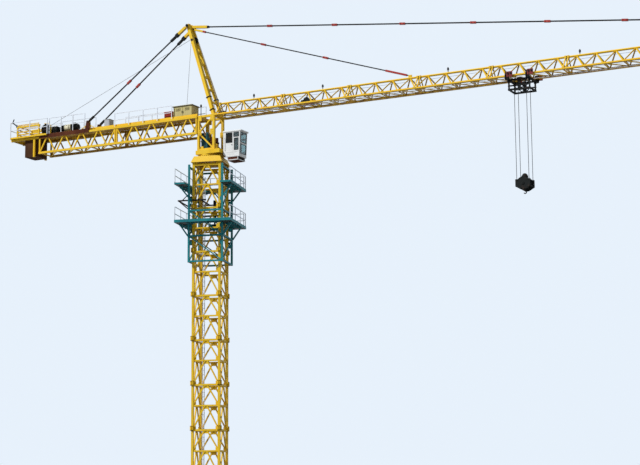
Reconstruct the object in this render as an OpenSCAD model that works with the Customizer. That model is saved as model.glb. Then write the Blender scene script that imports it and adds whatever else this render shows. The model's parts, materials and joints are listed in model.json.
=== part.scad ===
// Saddle-jib tower crane with a climbing cage, 1:2 scale model.
// The origin is on the mast axis at the underside of the base cross. X runs along the jib, Z is up.

/* [Mast] */
// Distance between the centres of the mast chords
mast_w = 920; // [860:10:980]
// Width across the flats of a square mast chord
mast_chord = 80; // [70:2:90]
// Height of one mast section
section_h = 1500; // [1440:10:1560]
// Number of mast sections
section_count = 9; // [8:1:10]
// Angle of the mast about Z, from the jib at rest
mast_turn = 14; // [10:1:20]
// Width of the horizontal bars at the section joints
joint_bar = 60; // [50:2:64]
// Width of the bracing bars of the mast
lacing_bar = 44; // [36:2:50]

/* [Base] */
// Height of the crossed base girders
base_h = 300; // [260:10:340]
// Width of a base girder
girder_w = 220; // [180:10:260]
// Radius from the mast axis to the anchor holes
anchor_r = 1900; // [1700:20:2200]
// Diameter of the anchor holes
anchor_d = 46; // [36:2:60]

/* [Climbing cage] */
// Distance between the centres of the cage posts
cage_w = 1176; // [1150:2:1200]
// Width of a square cage post
cage_post = 64; // [56:2:70]
// Height of the cage
cage_h = 3370; // [3200:10:3500]
// Reach of the platforms beyond the cage posts
platform_reach = 370; // [300:10:420]
// Height of the platform handrails
rail_h = 480; // [420:10:540]

/* [Slewing part] */
// Height of the flared lower support
support_h = 220; // [200:5:250]
// Thickness of the slewing deck
deck_t = 180; // [160:5:200]
// Height from the slewing deck to the jib level
tower_h = 1210; // [1150:10:1280]
// Distance between the slewing tower posts
tower_w = 600; // [560:10:640]
// Width of the slewing tower posts
tower_post = 84; // [70:2:96]

/* [Cathead] */
// Height of the apex pin above the jib level
apex_h = 3370; // [3200:10:3500]
// Distance of the apex pin behind the mast axis
apex_back = 850; // [780:10:920]
// Width of a cathead leg
leg_w = 116; // [100:2:130]

/* [Jib] */
// Length of one lattice panel of the jib
panel_l = 625; // [600:5:650]
// Lattice panels in one jib section
section_panels = 4; // [4:1:4]
// Number of jib sections
jib_sections = 10; // [9:1:11]
// Distance between the bottom chord centres of the jib
jib_w = 690; // [640:10:740]
// Height from the bottom chords to the top chord of the jib
jib_h = 450; // [420:10:500]
// Width of a square bottom chord
jib_chord = 62; // [54:2:70]
// Diameter of the top chord
top_chord = 64; // [54:2:72]
// Width of the jib bracing bars
jib_bar = 34; // [28:2:40]

/* [Counter-jib] */
// Length of the counter-jib bottom chords
counter_l = 6700; // [6500:50:6900]
// Height between the counter-jib chords
counter_h = 570; // [530:10:620]
// Thickness of the counterweight pack
ballast_t = 540; // [480:10:560]
// Distance of the tie brackets from the mast axis
tie_foot = 4900; // [4700:20:5000]

/* [Trolley and hook] */
// Distance of the trolley from the mast axis at rest
trolley_x = 11350; // [9000:50:13000]
// Diameter of the trolley wheels
wheel_d = 110; // [100:2:124]
// Height of the hook block sheave axis above the base underside at rest
block_z = 12060; // [10000:20:13000]
// Pitch diameter of the hook block sheaves
sheave_d = 400; // [370:5:410]
// Diameter of the hoist rope
rope_d = 12; // [8:1:14]

/* [Hidden] */

// Gap between neighbouring pieces that are bolted or pinned together
seat = 0.3;
// Gap of a slewing or rolling fit
running = 1;
yellow = "gold";
teal = "teal";
grey = "lightslategray";
dark = "dimgray";
red = "firebrick";

mast_top = base_h + section_count * section_h;
collar_w = mast_chord + 30;
collar_h = 170;
support_gap = 30;
support_low = mast_w + mast_chord + 100;
support_top = mast_w;
support_z = mast_top + support_gap;
ring_d = 860;
ring_h = 40;
deck_z = support_z + support_h + ring_h + running;
tower_z = deck_z + deck_t;
jib_z = tower_z + tower_h;
top_z = jib_z + jib_h;

cage_z = mast_top - 60 - cage_h;
platform_t = 60;
upper_z = mast_top - 800;
lower_z = mast_top - 2110;
// Drop of the brackets below the platforms
upper_drop = 380;
lower_drop = 420;
platform_half = cage_w / 2 + cage_post / 2 + platform_reach;

jib_foot = tower_w / 2 + tower_post / 2 + seat;
section_l = section_panels * panel_l;
// Distance of the end frames from the joint between two jib sections
frame_in = jib_bar + 10;
inner_apex = 11;
outer_apex = 33;
winch_apex = 5;
apex_x = -apex_back;
apex_z = jib_z + apex_h;
leg_foot_x = tower_w / 2 - 20;
leg_foot_y = tower_w / 2 - 20;
leg_head_y = 110;

counter_foot = -tower_w / 2 - tower_post / 2 - seat;
counter_end = counter_foot - counter_l;
tail_end = counter_end - 1240;
counter_w = jib_w;
counter_chord = 76;
counter_bar = 40;
counter_bays = 9;
counter_bay = counter_l / counter_bays;
deck_base = jib_z + counter_chord / 2 + seat;
deck_top = deck_base + 30;
// Thickness of the brackets that hold the counter-jib ties
bracket_w = counter_chord - 16;
bracket_h = 380;
// Length of the upper part of a tie bracket
bracket_l = 110;
tie_lug = [120, 34, 110];
pin_d = 64;
axle_d = 50;

ballast_x = counter_end - 660;

ledge_w = 46;
ledge_t = 14;
ledge_z = jib_z - jib_chord / 2 + 4;

// Straight square or many-sided bar from p to q, t across the flats
module bar(p, q, t, sides = 4) {
    d = q - p;
    translate(p)
        rotate([0, atan2(norm([d[0], d[1]]), d[2]), atan2(d[1], d[0])])
            rotate([0, 0, 180 / sides])
                cylinder(h = norm(d), r = t / 2 / cos(180 / sides), $fn = sides);
}

// Box given by its low corner and its high corner
module box(low, high) {
    translate(low) cube(high - low);
}

// Box centred in x and y that stands on z
module block(size, at = [0, 0, 0]) {
    translate([at[0] - size[0] / 2, at[1] - size[1] / 2, at[2]]) cube(size);
}

// Places its children in the frame of the mast, which stands turned from the jib
module in_mast() {
    rotate([0, 0, mast_turn]) children();
}

// Base

module base_cross() {
    reach = anchor_r + 160;
    color(yellow) in_mast() difference() {
        union() {
            for (turn = [45, 135])
                rotate([0, 0, turn]) {
                    block([2 * reach, girder_w, base_h - 20], [0, 0, 0]);
                    block([2 * reach, girder_w + 120, 30], [0, 0, 0]);
                    block([2 * reach, girder_w + 60, 20], [0, 0, base_h - 20 - seat]);
                }
        }
        for (turn = [45 : 90 : 315])
            rotate([0, 0, turn]) {
                translate([anchor_r, 0, -1]) cylinder(h = base_h + 2, d = anchor_d, $fn = 48);
                for (side = [-1, 1])
                    translate([collar_w, side * girder_w / 2 - (side < 0 ? 0 : 60), 60])
                        cube([anchor_r - collar_w - 120, 60, base_h - 120]);
            }
    }
}

module base_struts() {
    foot = anchor_r - 180;
    head = mast_w / 2 * sqrt(2);
    color(yellow) in_mast() difference() {
        for (turn = [45 : 90 : 315])
            rotate([0, 0, turn]) bar([foot, 0, base_h - 60], [head + 30, 0, base_h + section_h - 60], 90);
        box([-anchor_r, -anchor_r, 0], [anchor_r, anchor_r, base_h + seat]);
        for (x = [-1, 1], y = [-1, 1])
            block([collar_w + 2 * seat, collar_w + 2 * seat, 2 * section_h],
                [x * mast_w / 2, y * mast_w / 2, 0]);
    }
}

// Mast

// Underside of the mast chords, just above the base cross
foot_z = base_h + seat;
// Width of the horizontal bars between the section joints
mid_bar = lacing_bar + 6;
// Offset of each diagonal from the middle of the horizontal that it meets
apex_gap = 0.75 * lacing_bar;

// Thickness of the plates under the mast chords
foot_plate = 30;

// Height of the horizontals at the k-th section joint
function joint_z(k) = k == 0 ? foot_z + foot_plate + 5 + joint_bar / 2
    : base_h + k * section_h - joint_bar;

// One bay of bracing: a horizontal at the top and an inverted V below it
module lacing_bay(half, low, high, top_bar) {
    bar([-half, 0, high], [half, 0, high], top_bar);
    for (side = [-1, 1])
        bar([side * apex_gap, 0, high], [side * half, 0, low], lacing_bar);
}

// Bracing of one mast side over the full height, in the plane y = 0, out to x = half
module mast_lacing(half) {
    bar([-half, 0, joint_z(0)], [half, 0, joint_z(0)], joint_bar);
    for (k = [0 : section_count - 1]) {
        middle = base_h + (k + 0.5) * section_h;
        lacing_bay(half, joint_z(k), middle, mid_bar);
        lacing_bay(half, middle, joint_z(k + 1), joint_bar);
    }
}

module mast_face() {
    mast_lacing(mast_w / 2);
    for (side = [-1, 1]) {
        block([mast_chord, mast_chord, mast_top - foot_z], [side * mast_w / 2, 0, foot_z]);
        for (k = [1 : section_count - 1])
            block([collar_w, collar_w, collar_h],
                [side * mast_w / 2, 0, base_h + k * section_h - collar_h / 2]);
        block([collar_w + 60, collar_w + 60, foot_plate], [side * mast_w / 2, 0, foot_z]);
    }
}

module mast_side() {
    half = mast_w / 2 - collar_w / 2 - seat;
    intersection() {
        mast_lacing(half);
        box([-half, -mast_chord, foot_z + foot_plate + 2], [half, mast_chord, mast_top - 5]);
    }
}

module mast_front() {
    color(yellow) in_mast() translate([0, -mast_w / 2, 0]) mast_face();
}

module mast_back() {
    color(yellow) in_mast() translate([0, mast_w / 2, 0]) mast_face();
}

module mast_left() {
    color(yellow) in_mast() translate([-mast_w / 2, 0, 0]) rotate([0, 0, 90]) mast_side();
}

module mast_right() {
    color(yellow) in_mast() translate([mast_w / 2, 0, 0]) rotate([0, 0, 90]) mast_side();
}

module mast_ladder() {
    x = -mast_w / 2 + 190;
    half = 110;
    low = base_h + 100;
    rungs = floor((mast_top - low - 300) / 150);
    wall = -mast_w / 2 + joint_bar / 2 + seat;
    color(grey) in_mast() translate([0, 120, 0]) {
        for (side = [-1, 1])
            bar([x, side * half, low], [x, side * half, low + rungs * 150], 22);
        for (k = [0 : rungs - 1])
            bar([x, -half, low + 75 + k * 150], [x, half, low + 75 + k * 150], 12);
        for (side = [-1, 1], k = [1 : section_count - 1])
            bar([wall, side * half, joint_z(k)], [x, side * half, joint_z(k)], 20);
    }
}

// Climbing cage

// Heights of the cage horizontals above its foot
cage_levels = [cage_post / 2, cage_h - 2470, cage_h - 1600, cage_h - 90];
// Undersides of the guide shoes, clear of the collars of the mast
shoe_levels = [mast_top - 2 * section_h + collar_h, mast_top - 1.5 * section_h,
    mast_top - section_h + collar_h];
shoe_h = 120;

// Posts with guide shoes that bear on the mast chords, which lie on the facing side
module cage_posts(facing) {
    chord = mast_w / 2 + mast_chord / 2 + seat;
    for (side = [-1, 1]) {
        block([cage_post, cage_post, cage_h], [side * cage_w / 2, 0, cage_z]);
        for (z = shoe_levels)
            box([min(side * chord, side * cage_w / 2), min(0, facing * (cage_w - mast_w) / 2), z],
                [max(side * chord, side * cage_w / 2), max(0, facing * (cage_w - mast_w) / 2), z + shoe_h]);
    }
}

module cage_beam(z, t) {
    bar([-cage_w / 2, 0, cage_z + z], [cage_w / 2, 0, cage_z + z], t);
}

module cage_cross(low, high, t) {
    bar([-cage_w / 2, 0, cage_z + low], [cage_w / 2, 0, cage_z + high], t);
}

module cage_front() {
    color(teal) in_mast() translate([0, -cage_w / 2, 0]) {
        cage_posts(1);
        for (z = [cage_levels[0], cage_levels[1], cage_levels[2]]) cage_beam(z, 56);
        cage_cross(cage_levels[1], cage_levels[0], 36);
        cage_cross(cage_levels[2], cage_levels[1], 36);
    }
}

module cage_back() {
    color(teal) in_mast() translate([0, cage_w / 2, 0]) {
        cage_posts(-1);
        for (z = cage_levels) cage_beam(z, 56);
        for (k = [0 : 2]) cage_cross(cage_levels[k + 1], cage_levels[k], 36);
    }
}

module cage_side() {
    clear = cage_post / 2 + seat;
    intersection() {
        union() {
            for (z = cage_levels) cage_beam(z, 56);
            for (k = [0 : 2]) cage_cross(cage_levels[k], cage_levels[k + 1], 36);
        }
        box([-cage_w / 2 + clear, -cage_post, cage_z], [cage_w / 2 - clear, cage_post, cage_z + cage_h]);
    }
}

module cage_left() {
    color(teal) in_mast() translate([-cage_w / 2, 0, 0]) rotate([0, 0, 90]) cage_side();
}

module cage_right() {
    color(teal) in_mast() translate([cage_w / 2, 0, 0]) rotate([0, 0, 90]) cage_side();
}

// Clear opening of the platforms round the cage
cage_clear = cage_w + cage_post + 2 * seat;

// Raking brackets under the wings of a platform at height z
module wing_brackets(z, drop) {
    for (side = [-1, 1], y = [-cage_w / 2, cage_w / 2])
        bar([side * cage_clear / 2, y, z - drop], [side * (platform_half - 60), y, z + 20], 44);
}

module platform_cut(z, drop) {
    block([cage_clear, cage_clear, platform_t + drop + 200], [0, 0, z - drop - 100]);
}

module upper_platform() {
    color(teal) in_mast() difference() {
        union() {
            block([2 * platform_half, 2 * platform_half, platform_t], [0, 0, upper_z]);
            wing_brackets(upper_z, upper_drop);
        }
        platform_cut(upper_z, upper_drop);
        block([cage_clear, platform_half, platform_t + 2], [0, -platform_half / 2 - cage_w / 4, upper_z - 1]);
    }
}

module lower_platform() {
    color(teal) in_mast() difference() {
        union() {
            block([2 * platform_half, 2 * platform_half, platform_t], [0, 0, lower_z]);
            wing_brackets(lower_z, lower_drop);
        }
        platform_cut(lower_z, lower_drop);
    }
}

// Handrail of one wing between y = low and y = high, at x
module wing_rail(x, low, high, z) {
    base = z + platform_t + seat;
    posts = 4;
    for (k = [0 : posts - 1]) {
        y = low + k * (high - low) / (posts - 1);
        bar([x, y, base], [x, y, base + rail_h], 22);
    }
    for (h = [rail_h / 2, rail_h]) bar([x, low, base + h], [x, high, base + h], 20);
}

// Handrails along both sides and the back of a platform, which meet at open corners
module ring_rail(z) {
    edge = platform_half - 20;
    corner = edge - 60;
    for (side = [-1, 1]) wing_rail(side * edge, -edge, edge, z);
    rotate([0, 0, 90]) wing_rail(edge, -corner, corner, z);
}

module cage_railings() {
    color(grey) in_mast() {
        ring_rail(upper_z);
        ring_rail(lower_z);
    }
}

module jacking_ram() {
    beam = cage_w / 2 + 28 + seat;
    y = beam + 90;
    hang = cage_z + cage_levels[2];
    color(dark) in_mast() translate([-60, 0, 0]) {
        translate([0, y, hang - 60]) cylinder(h = 620, d = 110, $fn = 40);
        translate([0, y, hang - 300]) cylinder(h = 260, d = 60, $fn = 40);
        block([420, 120, 80], [0, y, hang - 360]);
        box([-50, beam, hang - 28], [50, y, hang + 28]);
    }
}

// Lower support and slewing ring

module lower_support() {
    slope = (support_low - support_top) / 2;
    color(yellow) in_mast() union() {
        translate([0, 0, support_z]) difference() {
            intersection() {
                translate([0, support_low, 0]) rotate([90, 0, 0]) linear_extrude(2 * support_low)
                    polygon([[-support_low / 2, 0], [support_low / 2, 0],
                        [support_low / 2 - slope, support_h], [-support_low / 2 + slope, support_h]]);
                translate([-support_low, 0, 0]) rotate([90, 0, 90]) linear_extrude(2 * support_low)
                    polygon([[-support_low / 2, 0], [support_low / 2, 0],
                        [support_low / 2 - slope, support_h], [-support_low / 2 + slope, support_h]]);
            }
            block([ring_d - 200, ring_d - 200, support_h - 40], [0, 0, -1]);
        }
        for (x = [-1, 1], y = [-1, 1])
            block([collar_w, collar_w, support_gap + 10 - seat],
                [x * mast_w / 2, y * mast_w / 2, mast_top + seat]);
        translate([0, 0, support_z + support_h - 10]) cylinder(h = ring_h + 10, d = ring_d, $fn = 96);
    }
}

// Slewing part

deck_front = 590;
deck_back = 350;
deck_half = 430;

module slewing_deck() {
    color(yellow) union() {
        box([-deck_back, -deck_half, deck_z + ring_h], [deck_front, deck_half, deck_z + deck_t]);
        translate([0, 0, deck_z]) cylinder(h = ring_h + 20, d = ring_d, $fn = 96);
    }
}

module slewing_tower() {
    half = tower_w / 2;
    low = tower_z + seat;
    high = jib_z + counter_chord / 2;
    sag = jib_z - counter_h;
    color(yellow) intersection() {
        union() {
            for (x = [-half, half], y = [-half, half])
                block([tower_post, tower_post, high - low], [x, y, low]);
            for (y = [-half, half]) {
                bar([-half, y, jib_z], [half, y, jib_z], 76);
                bar([-half, y, low + 38], [half, y, low + 38], 76);
                bar([-half, y, sag], [half, y, jib_z], 48);
                bar([-half, y, sag], [half, y, low + 38], 48);
            }
            for (x = [-half, half]) {
                bar([x, -half, jib_z], [x, half, jib_z], 76);
                bar([x, -half, low + 38], [x, half, low + 38], 76);
            }
            bar([-half, -half, sag], [-half, half, sag], 60);
        }
        block([2 * tower_w, 2 * tower_w, high - low], [0, 0, low]);
    }
}

module slewing_motors() {
    color("darkslategray") for (y = [-150, 150]) translate([-120, y, tower_z + seat]) {
        cylinder(h = 60, d = 170, $fn = 40);
        translate([0, 0, 60]) cylinder(h = 200, d = 120, $fn = 40);
        translate([0, 0, 260]) cylinder(h = 220, d = 150, $fn = 40);
        translate([0, 0, 480]) cylinder(h = 60, d = 100, $fn = 40);
    }
}

// Operator's cab

cab_x = jib_foot + 300;
cab_l = 660;
cab_w = 500;
cab_z = deck_z - 130;
cab_h = 900;
cab_wall = 24;

// Length and height of the chamfer at the cab's lower back corner, which clears the lower support
chamfer = [120, 110];

// Side outline of the cab, drawn inwards by t
module cab_outline(t = 0) {
    polygon([[t, chamfer[1] + t * (norm(chamfer) - chamfer[1]) / chamfer[0]],
        [chamfer[0] + t * (norm(chamfer) - chamfer[0]) / chamfer[1], t],
        [cab_l - 40 - t, t], [cab_l - 20 - t, cab_h * 0.46], [cab_l - t, cab_h - t], [t, cab_h - t]]);
}

module cab_body(t, width) {
    translate([cab_x, width / 2, cab_z]) rotate([90, 0, 0]) linear_extrude(width) cab_outline(t);
}

// Window openings of the cab: side ones cut through both sides
module cab_windows(shrink = 0) {
    s = shrink;
    for (w = [[110, 500, 350, 840], [410, 690, 610, 840], [430, 230, 590, 640]])
        box([cab_x + w[0] + s, -cab_w, cab_z + w[1] + s], [cab_x + w[2] - s, cab_w, cab_z + w[3] - s]);
    for (w = [[500, 840], [110, 430]])
        box([cab_x + cab_l - 120, -cab_w / 2 + 50 + s, cab_z + w[0] + s],
            [cab_x + cab_l + 100, cab_w / 2 - 50 - s, cab_z + w[1] - s]);
}

module cab_shell() {
    color("white") difference() {
        cab_body(0, cab_w);
        cab_body(cab_wall, cab_w - 2 * cab_wall);
        cab_windows();
    }
}

module cab_glass() {
    color("lightcyan") intersection() {
        difference() {
            cab_body(6, cab_w - 12);
            cab_body(16, cab_w - 32);
        }
        cab_windows(seat);
    }
}

module cab_platform() {
    low = cab_z - 110;
    color(dark) {
        box([deck_front + seat, -180, deck_z + ring_h + 10], [cab_x - seat, 180, tower_z + 140]);
        box([cab_x + 160, -cab_w / 2 + 20, low], [cab_x + cab_l - 90, cab_w / 2 - 20, cab_z - seat]);
    }
}

// Cathead

// Lean of the cathead from the vertical, seen from the side
leg_base = jib_z + counter_chord / 2 + seat;
lean = atan2(leg_foot_x - apex_x, apex_z - leg_base);
rung_bar = 60;
sheave_f = 0.84;
guide_d = 260;

// Point of the cathead's middle plane at fraction f of the way up
function cathead_at(f) = [leg_foot_x + (apex_x - leg_foot_x) * f, 0, leg_base + (apex_z - leg_base) * f];
// Half distance between the leg centres at fraction f of the way up
function leg_y(f) = leg_foot_y + (leg_head_y - leg_foot_y) * f;

// Twelve-sided hole along y that clears a pin of diameter d
module cross_hole(d) {
    translate([0, tower_w / 2, 0]) rotate([90, 0, 0])
        cylinder(h = tower_w, r = (d / 2 + seat) / cos(15), $fn = 12);
}

module cathead_legs() {
    color(yellow) difference() {
        union() {
            for (side = [-1, 1])
                bar(cathead_at(-0.03) + [0, side * leg_y(-0.03), 0],
                    cathead_at(1.02) + [0, side * leg_y(1.02), 0], leg_w);
            for (k = [1 : 5])
                bar(cathead_at(k / 7) - [0, leg_y(k / 7), 0],
                    cathead_at(k / 7) + [0, leg_y(k / 7), 0], rung_bar);
        }
        block([4 * tower_w, 4 * tower_w, 200], [0, 0, leg_base - 200]);
        translate([apex_x, 0, apex_z]) cross_hole(pin_d);
        translate(cathead_at(sheave_f)) cross_hole(axle_d);
    }
}

module cathead_ladder() {
    rail = 20;
    half = 60;
    low = 0.04;
    high = 0.66;
    off = (rung_bar / 2 * (cos(lean) + sin(lean)) + rail / 2 + seat) / cos(lean);
    rungs = 15;
    color(grey) {
        for (side = [-1, 1])
            bar(cathead_at(low) + [-off, side * half, 0], cathead_at(high) + [-off, side * half, 0], rail);
        for (k = [1 : rungs]) {
            f = low + (high - low) * k / (rungs + 1);
            bar(cathead_at(f) + [-off, -half, 0], cathead_at(f) + [-off, half, 0], 14);
        }
    }
}

// Ends of the tie arms that hang on the apex pin
outer_lug = [apex_at(outer_apex), 0, top_z + tie_lug[2] - 30];
inner_lug = [apex_at(inner_apex), 0, top_z + tie_lug[2] - 30];
apex = [apex_x, 0, apex_z];
inner_pin = apex + [150, 0, -110];
// Unit vector from p to q
function toward(p, q) = (q - p) / norm(q - p);
outer_joint = apex + 700 * toward(apex, outer_lug);
inner_joint = inner_pin + 430 * toward(inner_pin, inner_lug);
// Foot of a counter-jib tie on the bracket of one side
function tie_bracket(side) = [-tie_foot, side * counter_w / 2, jib_z + bracket_h - 40];
// Pin of a rear link on one side
function rear_pin(side) = apex + [0, side * (leg_head_y + leg_w / 2 + 36), 0];
function rear_joint(side) = rear_pin(side) + 620 * toward(rear_pin(side), tie_bracket(side));

module cathead_head() {
    color(yellow) union() {
        translate([apex_x, 230, apex_z]) rotate([90, 0, 0]) cylinder(h = 460, d = pin_d, $fn = 40);
        translate([apex_x, 20, apex_z]) rotate([90, 0, 0]) linear_extrude(40)
            polygon([[-70, -60], [-70, 60], [60, 70], [230, -60], [210, -170], [90, -170]]);
        bar(apex, outer_joint, 88);
        bar(inner_pin, inner_joint, 64);
        for (side = [-1, 1]) {
            bar(rear_pin(side), rear_joint(side), 50);
            translate(rear_pin(side) + [0, 25, 0]) rotate([90, 0, 0]) cylinder(h = 50, d = 120, $fn = 40);
        }
    }
}

// Grooved rope sheave in the plane y = 0 with a plain bore
module sheave(pitch_d, bore_d) {
    floor_r = pitch_d / 2 - rope_d / 2 - seat;
    rim_r = floor_r + rope_d + 4;
    w = 2 * rope_d + 10;
    rotate([90, 0, 0]) rotate_extrude($fn = 72)
        polygon([[bore_d / 2, -w / 2], [rim_r, -w / 2], [rim_r, -w / 2 + 2], [floor_r, -rope_d / 2 - 1],
            [floor_r, rope_d / 2 + 1], [rim_r, w / 2 - 2], [rim_r, w / 2], [bore_d / 2, w / 2]]);
}

module cathead_sheave() {
    half = leg_y(sheave_f) + 60;
    color(dark) translate(cathead_at(sheave_f)) union() {
        sheave(guide_d, axle_d - 4);
        translate([0, half, 0]) rotate([90, 0, 0]) cylinder(h = 2 * half, d = axle_d, $fn = 40);
    }
}

// Counter-jib

module counter_truss(side) {
    y = side * counter_w / 2;
    low = jib_z - counter_h;
    gap = 0.75 * counter_bar;
    hanger_x = ballast_x + ballast_t - 90;
    upright = 50;
    color(yellow) union() {
        bar([counter_foot, y, jib_z], [tail_end, y, jib_z], counter_chord);
        bar([counter_foot, y, low], [counter_end, y, low], counter_chord);
        for (k = [0 : counter_bays - 1]) {
            x = counter_foot - k * counter_bay;
            middle = x - counter_bay / 2;
            bar([x - gap, y, low], [middle + gap, y, jib_z], counter_bar);
            bar([middle - gap, y, jib_z], [x - counter_bay + gap, y, low], counter_bar);
        }
        for (x = [counter_foot - 32, counter_foot - counter_l / 2 - 40, counter_foot - counter_l / 2 + 40,
                counter_end + 32])
            bar([x, y, low], [x, y, jib_z], upright);
        block([2 * bracket_l, bracket_w, 170], [-tie_foot, y, jib_z]);
        block([bracket_l, bracket_w - 6, bracket_h], [-tie_foot, y, jib_z]);
        bar([hanger_x, y, jib_z - 690], [hanger_x, y, jib_z], counter_chord - 8);
    }
}

module counter_jib_near() {
    counter_truss(-1);
}

module counter_jib_far() {
    counter_truss(1);
}

module counter_jib_bracing() {
    inner = counter_w / 2 - counter_chord / 2 - seat;
    low = jib_z - counter_h;
    top = jib_z + counter_chord / 2 - 28;
    run = counter_l - 100;
    color(yellow) intersection() {
        union() {
            for (k = [0 : counter_bays]) {
                x = counter_foot - 50 - k * run / counter_bays;
                bar([x, -counter_w / 2, low], [x, counter_w / 2, low], counter_bar);
                if (k < counter_bays)
                    bar([x, -inner, low], [x - run / counter_bays, inner, low], counter_bar - 6);
            }
            for (k = [0 : 2 : counter_bays])
                bar([counter_foot - 50 - k * run / counter_bays, -counter_w / 2, top],
                    [counter_foot - 50 - k * run / counter_bays, counter_w / 2, top], 56);
            bar([tail_end + 30, -counter_w / 2, top], [tail_end + 30, counter_w / 2, top], 56);
        }
        box([tail_end, -inner, low - 100], [counter_foot, inner, jib_z + 100]);
    }
}

module counter_jib_deck() {
    half = counter_w / 2 - counter_chord / 2 - 8;
    start = counter_foot - 30;
    end = ballast_x + ballast_t + 90;
    color(yellow) union() {
        box([end, -half, deck_base], [start, half, deck_top]);
        for (side = [-1, 1])
            box([end, side * half - (side > 0 ? 12 : 0), deck_base],
                [start, side * half + (side > 0 ? 0 : 12), deck_base + 90]);
    }
}

// Handrail of height h along the chord of one side, from x = start back to x = end
module side_rail(side, start, end, posts, h) {
    y = side * counter_w / 2;
    for (k = [0 : posts - 1]) {
        x = start + (end - start) * k / (posts - 1);
        bar([x, y, deck_base], [x, y, deck_base + h], 22);
    }
    for (z = [deck_base + h / 2, deck_base + h]) bar([start, y, z], [end, y, z], 20);
}

module counter_jib_railings() {
    color(grey) for (side = [-1, 1]) {
        side_rail(side, side < 0 ? counter_foot - 1040 : counter_foot - 60, -tie_foot + 1140,
            side < 0 ? 5 : 7, rail_h);
        side_rail(side, -tie_foot - 150, counter_end + 440, 4, rail_h + 160);
    }
}

module tail_platform() {
    x0 = tail_end;
    x1 = ballast_x + ballast_t + 500;
    half = counter_w / 2 + 110;
    y = half - 30;
    ties = 6;
    color(yellow) difference() {
        union() {
            for (side = [-1, 1]) {
                bar([x0, side * y, deck_base + 40], [x1, side * y, deck_base + 40], 60);
                bar([x0 + 300, side * y, deck_base + 420], [x1 - 300, side * y, deck_base + 420], 56);
                for (x = [x0 + 320, x1 - 340])
                    bar([x, side * y, deck_base + 40], [x, side * y, deck_base + 420], 50);
            }
            for (k = [0 : ties])
                bar([x0 + 30 + k * (x1 - x0 - 60) / ties, -y, deck_base + 25],
                    [x0 + 30 + k * (x1 - x0 - 60) / ties, y, deck_base + 25], 50);
            box([x0, -y, deck_base + 40], [ballast_x + ballast_t + 60, y, deck_base + 54]);
        }
        block([ballast_t + 50, 2 * y - 70, 200], [ballast_x + ballast_t / 2, 0, deck_base - 50]);
        box([ballast_x + ballast_t + 80, 60 - y, deck_base - 50], [x1 + 10, y - 60, deck_base + 200]);
    }
}

drum_d = 280;
drum_at = [ballast_x + ballast_t + 310, 0, deck_top + 250];

module hoist_winch() {
    base = deck_top + seat;
    skid_l = 1480;
    x = drum_at[0] - 198 + skid_l / 2;
    gear_x = drum_at[0] + 330;
    motor_x = drum_at[0] + 550;
    motor_l = 720;
    color(dark) union() {
        for (side = [-1, 1]) block([skid_l, 50, 70], [x, side * 200, base]);
        for (cross = [x - skid_l / 2 + 40, gear_x, motor_x + 120, x + skid_l / 2 - 40])
            block([76, 440, 64], [cross, 0, base + 2]);
        translate([drum_at[0], 195, drum_at[2]]) rotate([90, 0, 0]) cylinder(h = 390, d = drum_d, $fn = 64);
        for (side = [-1, 1]) {
            translate([drum_at[0], side * 205 + 15, drum_at[2]]) rotate([90, 0, 0])
                cylinder(h = 30, d = 400, $fn = 64);
            block([120, 40, 240], [drum_at[0], side * 205, base + 10]);
        }
        block([220, 260, 330], [gear_x, 0, base + 4]);
        translate([gear_x, 0, drum_at[2]]) rotate([0, 90, 0])
            cylinder(h = motor_x - gear_x + 20, d = 110, $fn = 40);
        translate([motor_x, 0, drum_at[2]]) rotate([0, 90, 0]) cylinder(h = motor_l, d = 190, $fn = 48);
        translate([motor_x + 200, 0, drum_at[2]]) rotate([0, 90, 0]) cylinder(h = 260, d = 256, $fn = 48);
        block([70, 120, 200], [motor_x + 120, 0, base + 4]);
        block([70, 120, 200], [motor_x + 560, 0, base + 4]);
        block([60, 440, 60], [motor_x + 560, 0, base + 3]);
    }
}

module control_cabinet() {
    color("darkkhaki") union() {
        box([-1360, -260, deck_top + seat], [-610, 180, deck_top + 420]);
        box([-1380, -280, deck_top + 400], [-590, 200, deck_top + 440]);
    }
}

module resistor_box() {
    color(red) box([-1740, -250, deck_top + seat], [-1430, 50, deck_top + 270]);
}

module switch_cabinet() {
    color(grey) box([-tie_foot + 640, -260, deck_top + seat], [-tie_foot + 860, 0, deck_top + 300]);
}

module counterweights() {
    slabs = 4;
    t = (ballast_t - (slabs - 1) * seat) / slabs;
    body = counter_w / 2 - counter_chord / 2 - 6;
    ear = counter_w / 2 + 30;
    color("saddlebrown") for (k = [0 : slabs - 1])
        translate([ballast_x + k * (t + seat), 0, 0]) rotate([90, 0, 90]) linear_extrude(t)
            polygon([[-body, jib_z - 660], [body, jib_z - 660], [body, deck_base], [ear, deck_base],
                [ear, deck_base + 70], [-ear, deck_base + 70], [-ear, deck_base], [-body, deck_base]]);
}

module counter_jib_ties() {
    color(dark) difference() {
        for (side = [-1, 1]) {
            bar(rear_joint(side) + seat * toward(rear_pin(side), tie_bracket(side)), tie_bracket(side), 36);
            bar(tie_coupling(side) - 90 * toward(rear_pin(side), tie_bracket(side)),
                tie_coupling(side) + 90 * toward(rear_pin(side), tie_bracket(side)), 60);
        }
        for (side = [-1, 1])
            block([bracket_l + 2 * seat, bracket_w + 2 * seat, bracket_h + seat],
                [-tie_foot, side * counter_w / 2, jib_z]);
    }
}

function tie_coupling(side) = rear_pin(side) + 0.58 * (tie_bracket(side) - rear_pin(side));

// Jib

// X of the k-th apex of the jib
function apex_at(k) = jib_foot + (k + 0.5) * panel_l;

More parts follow.
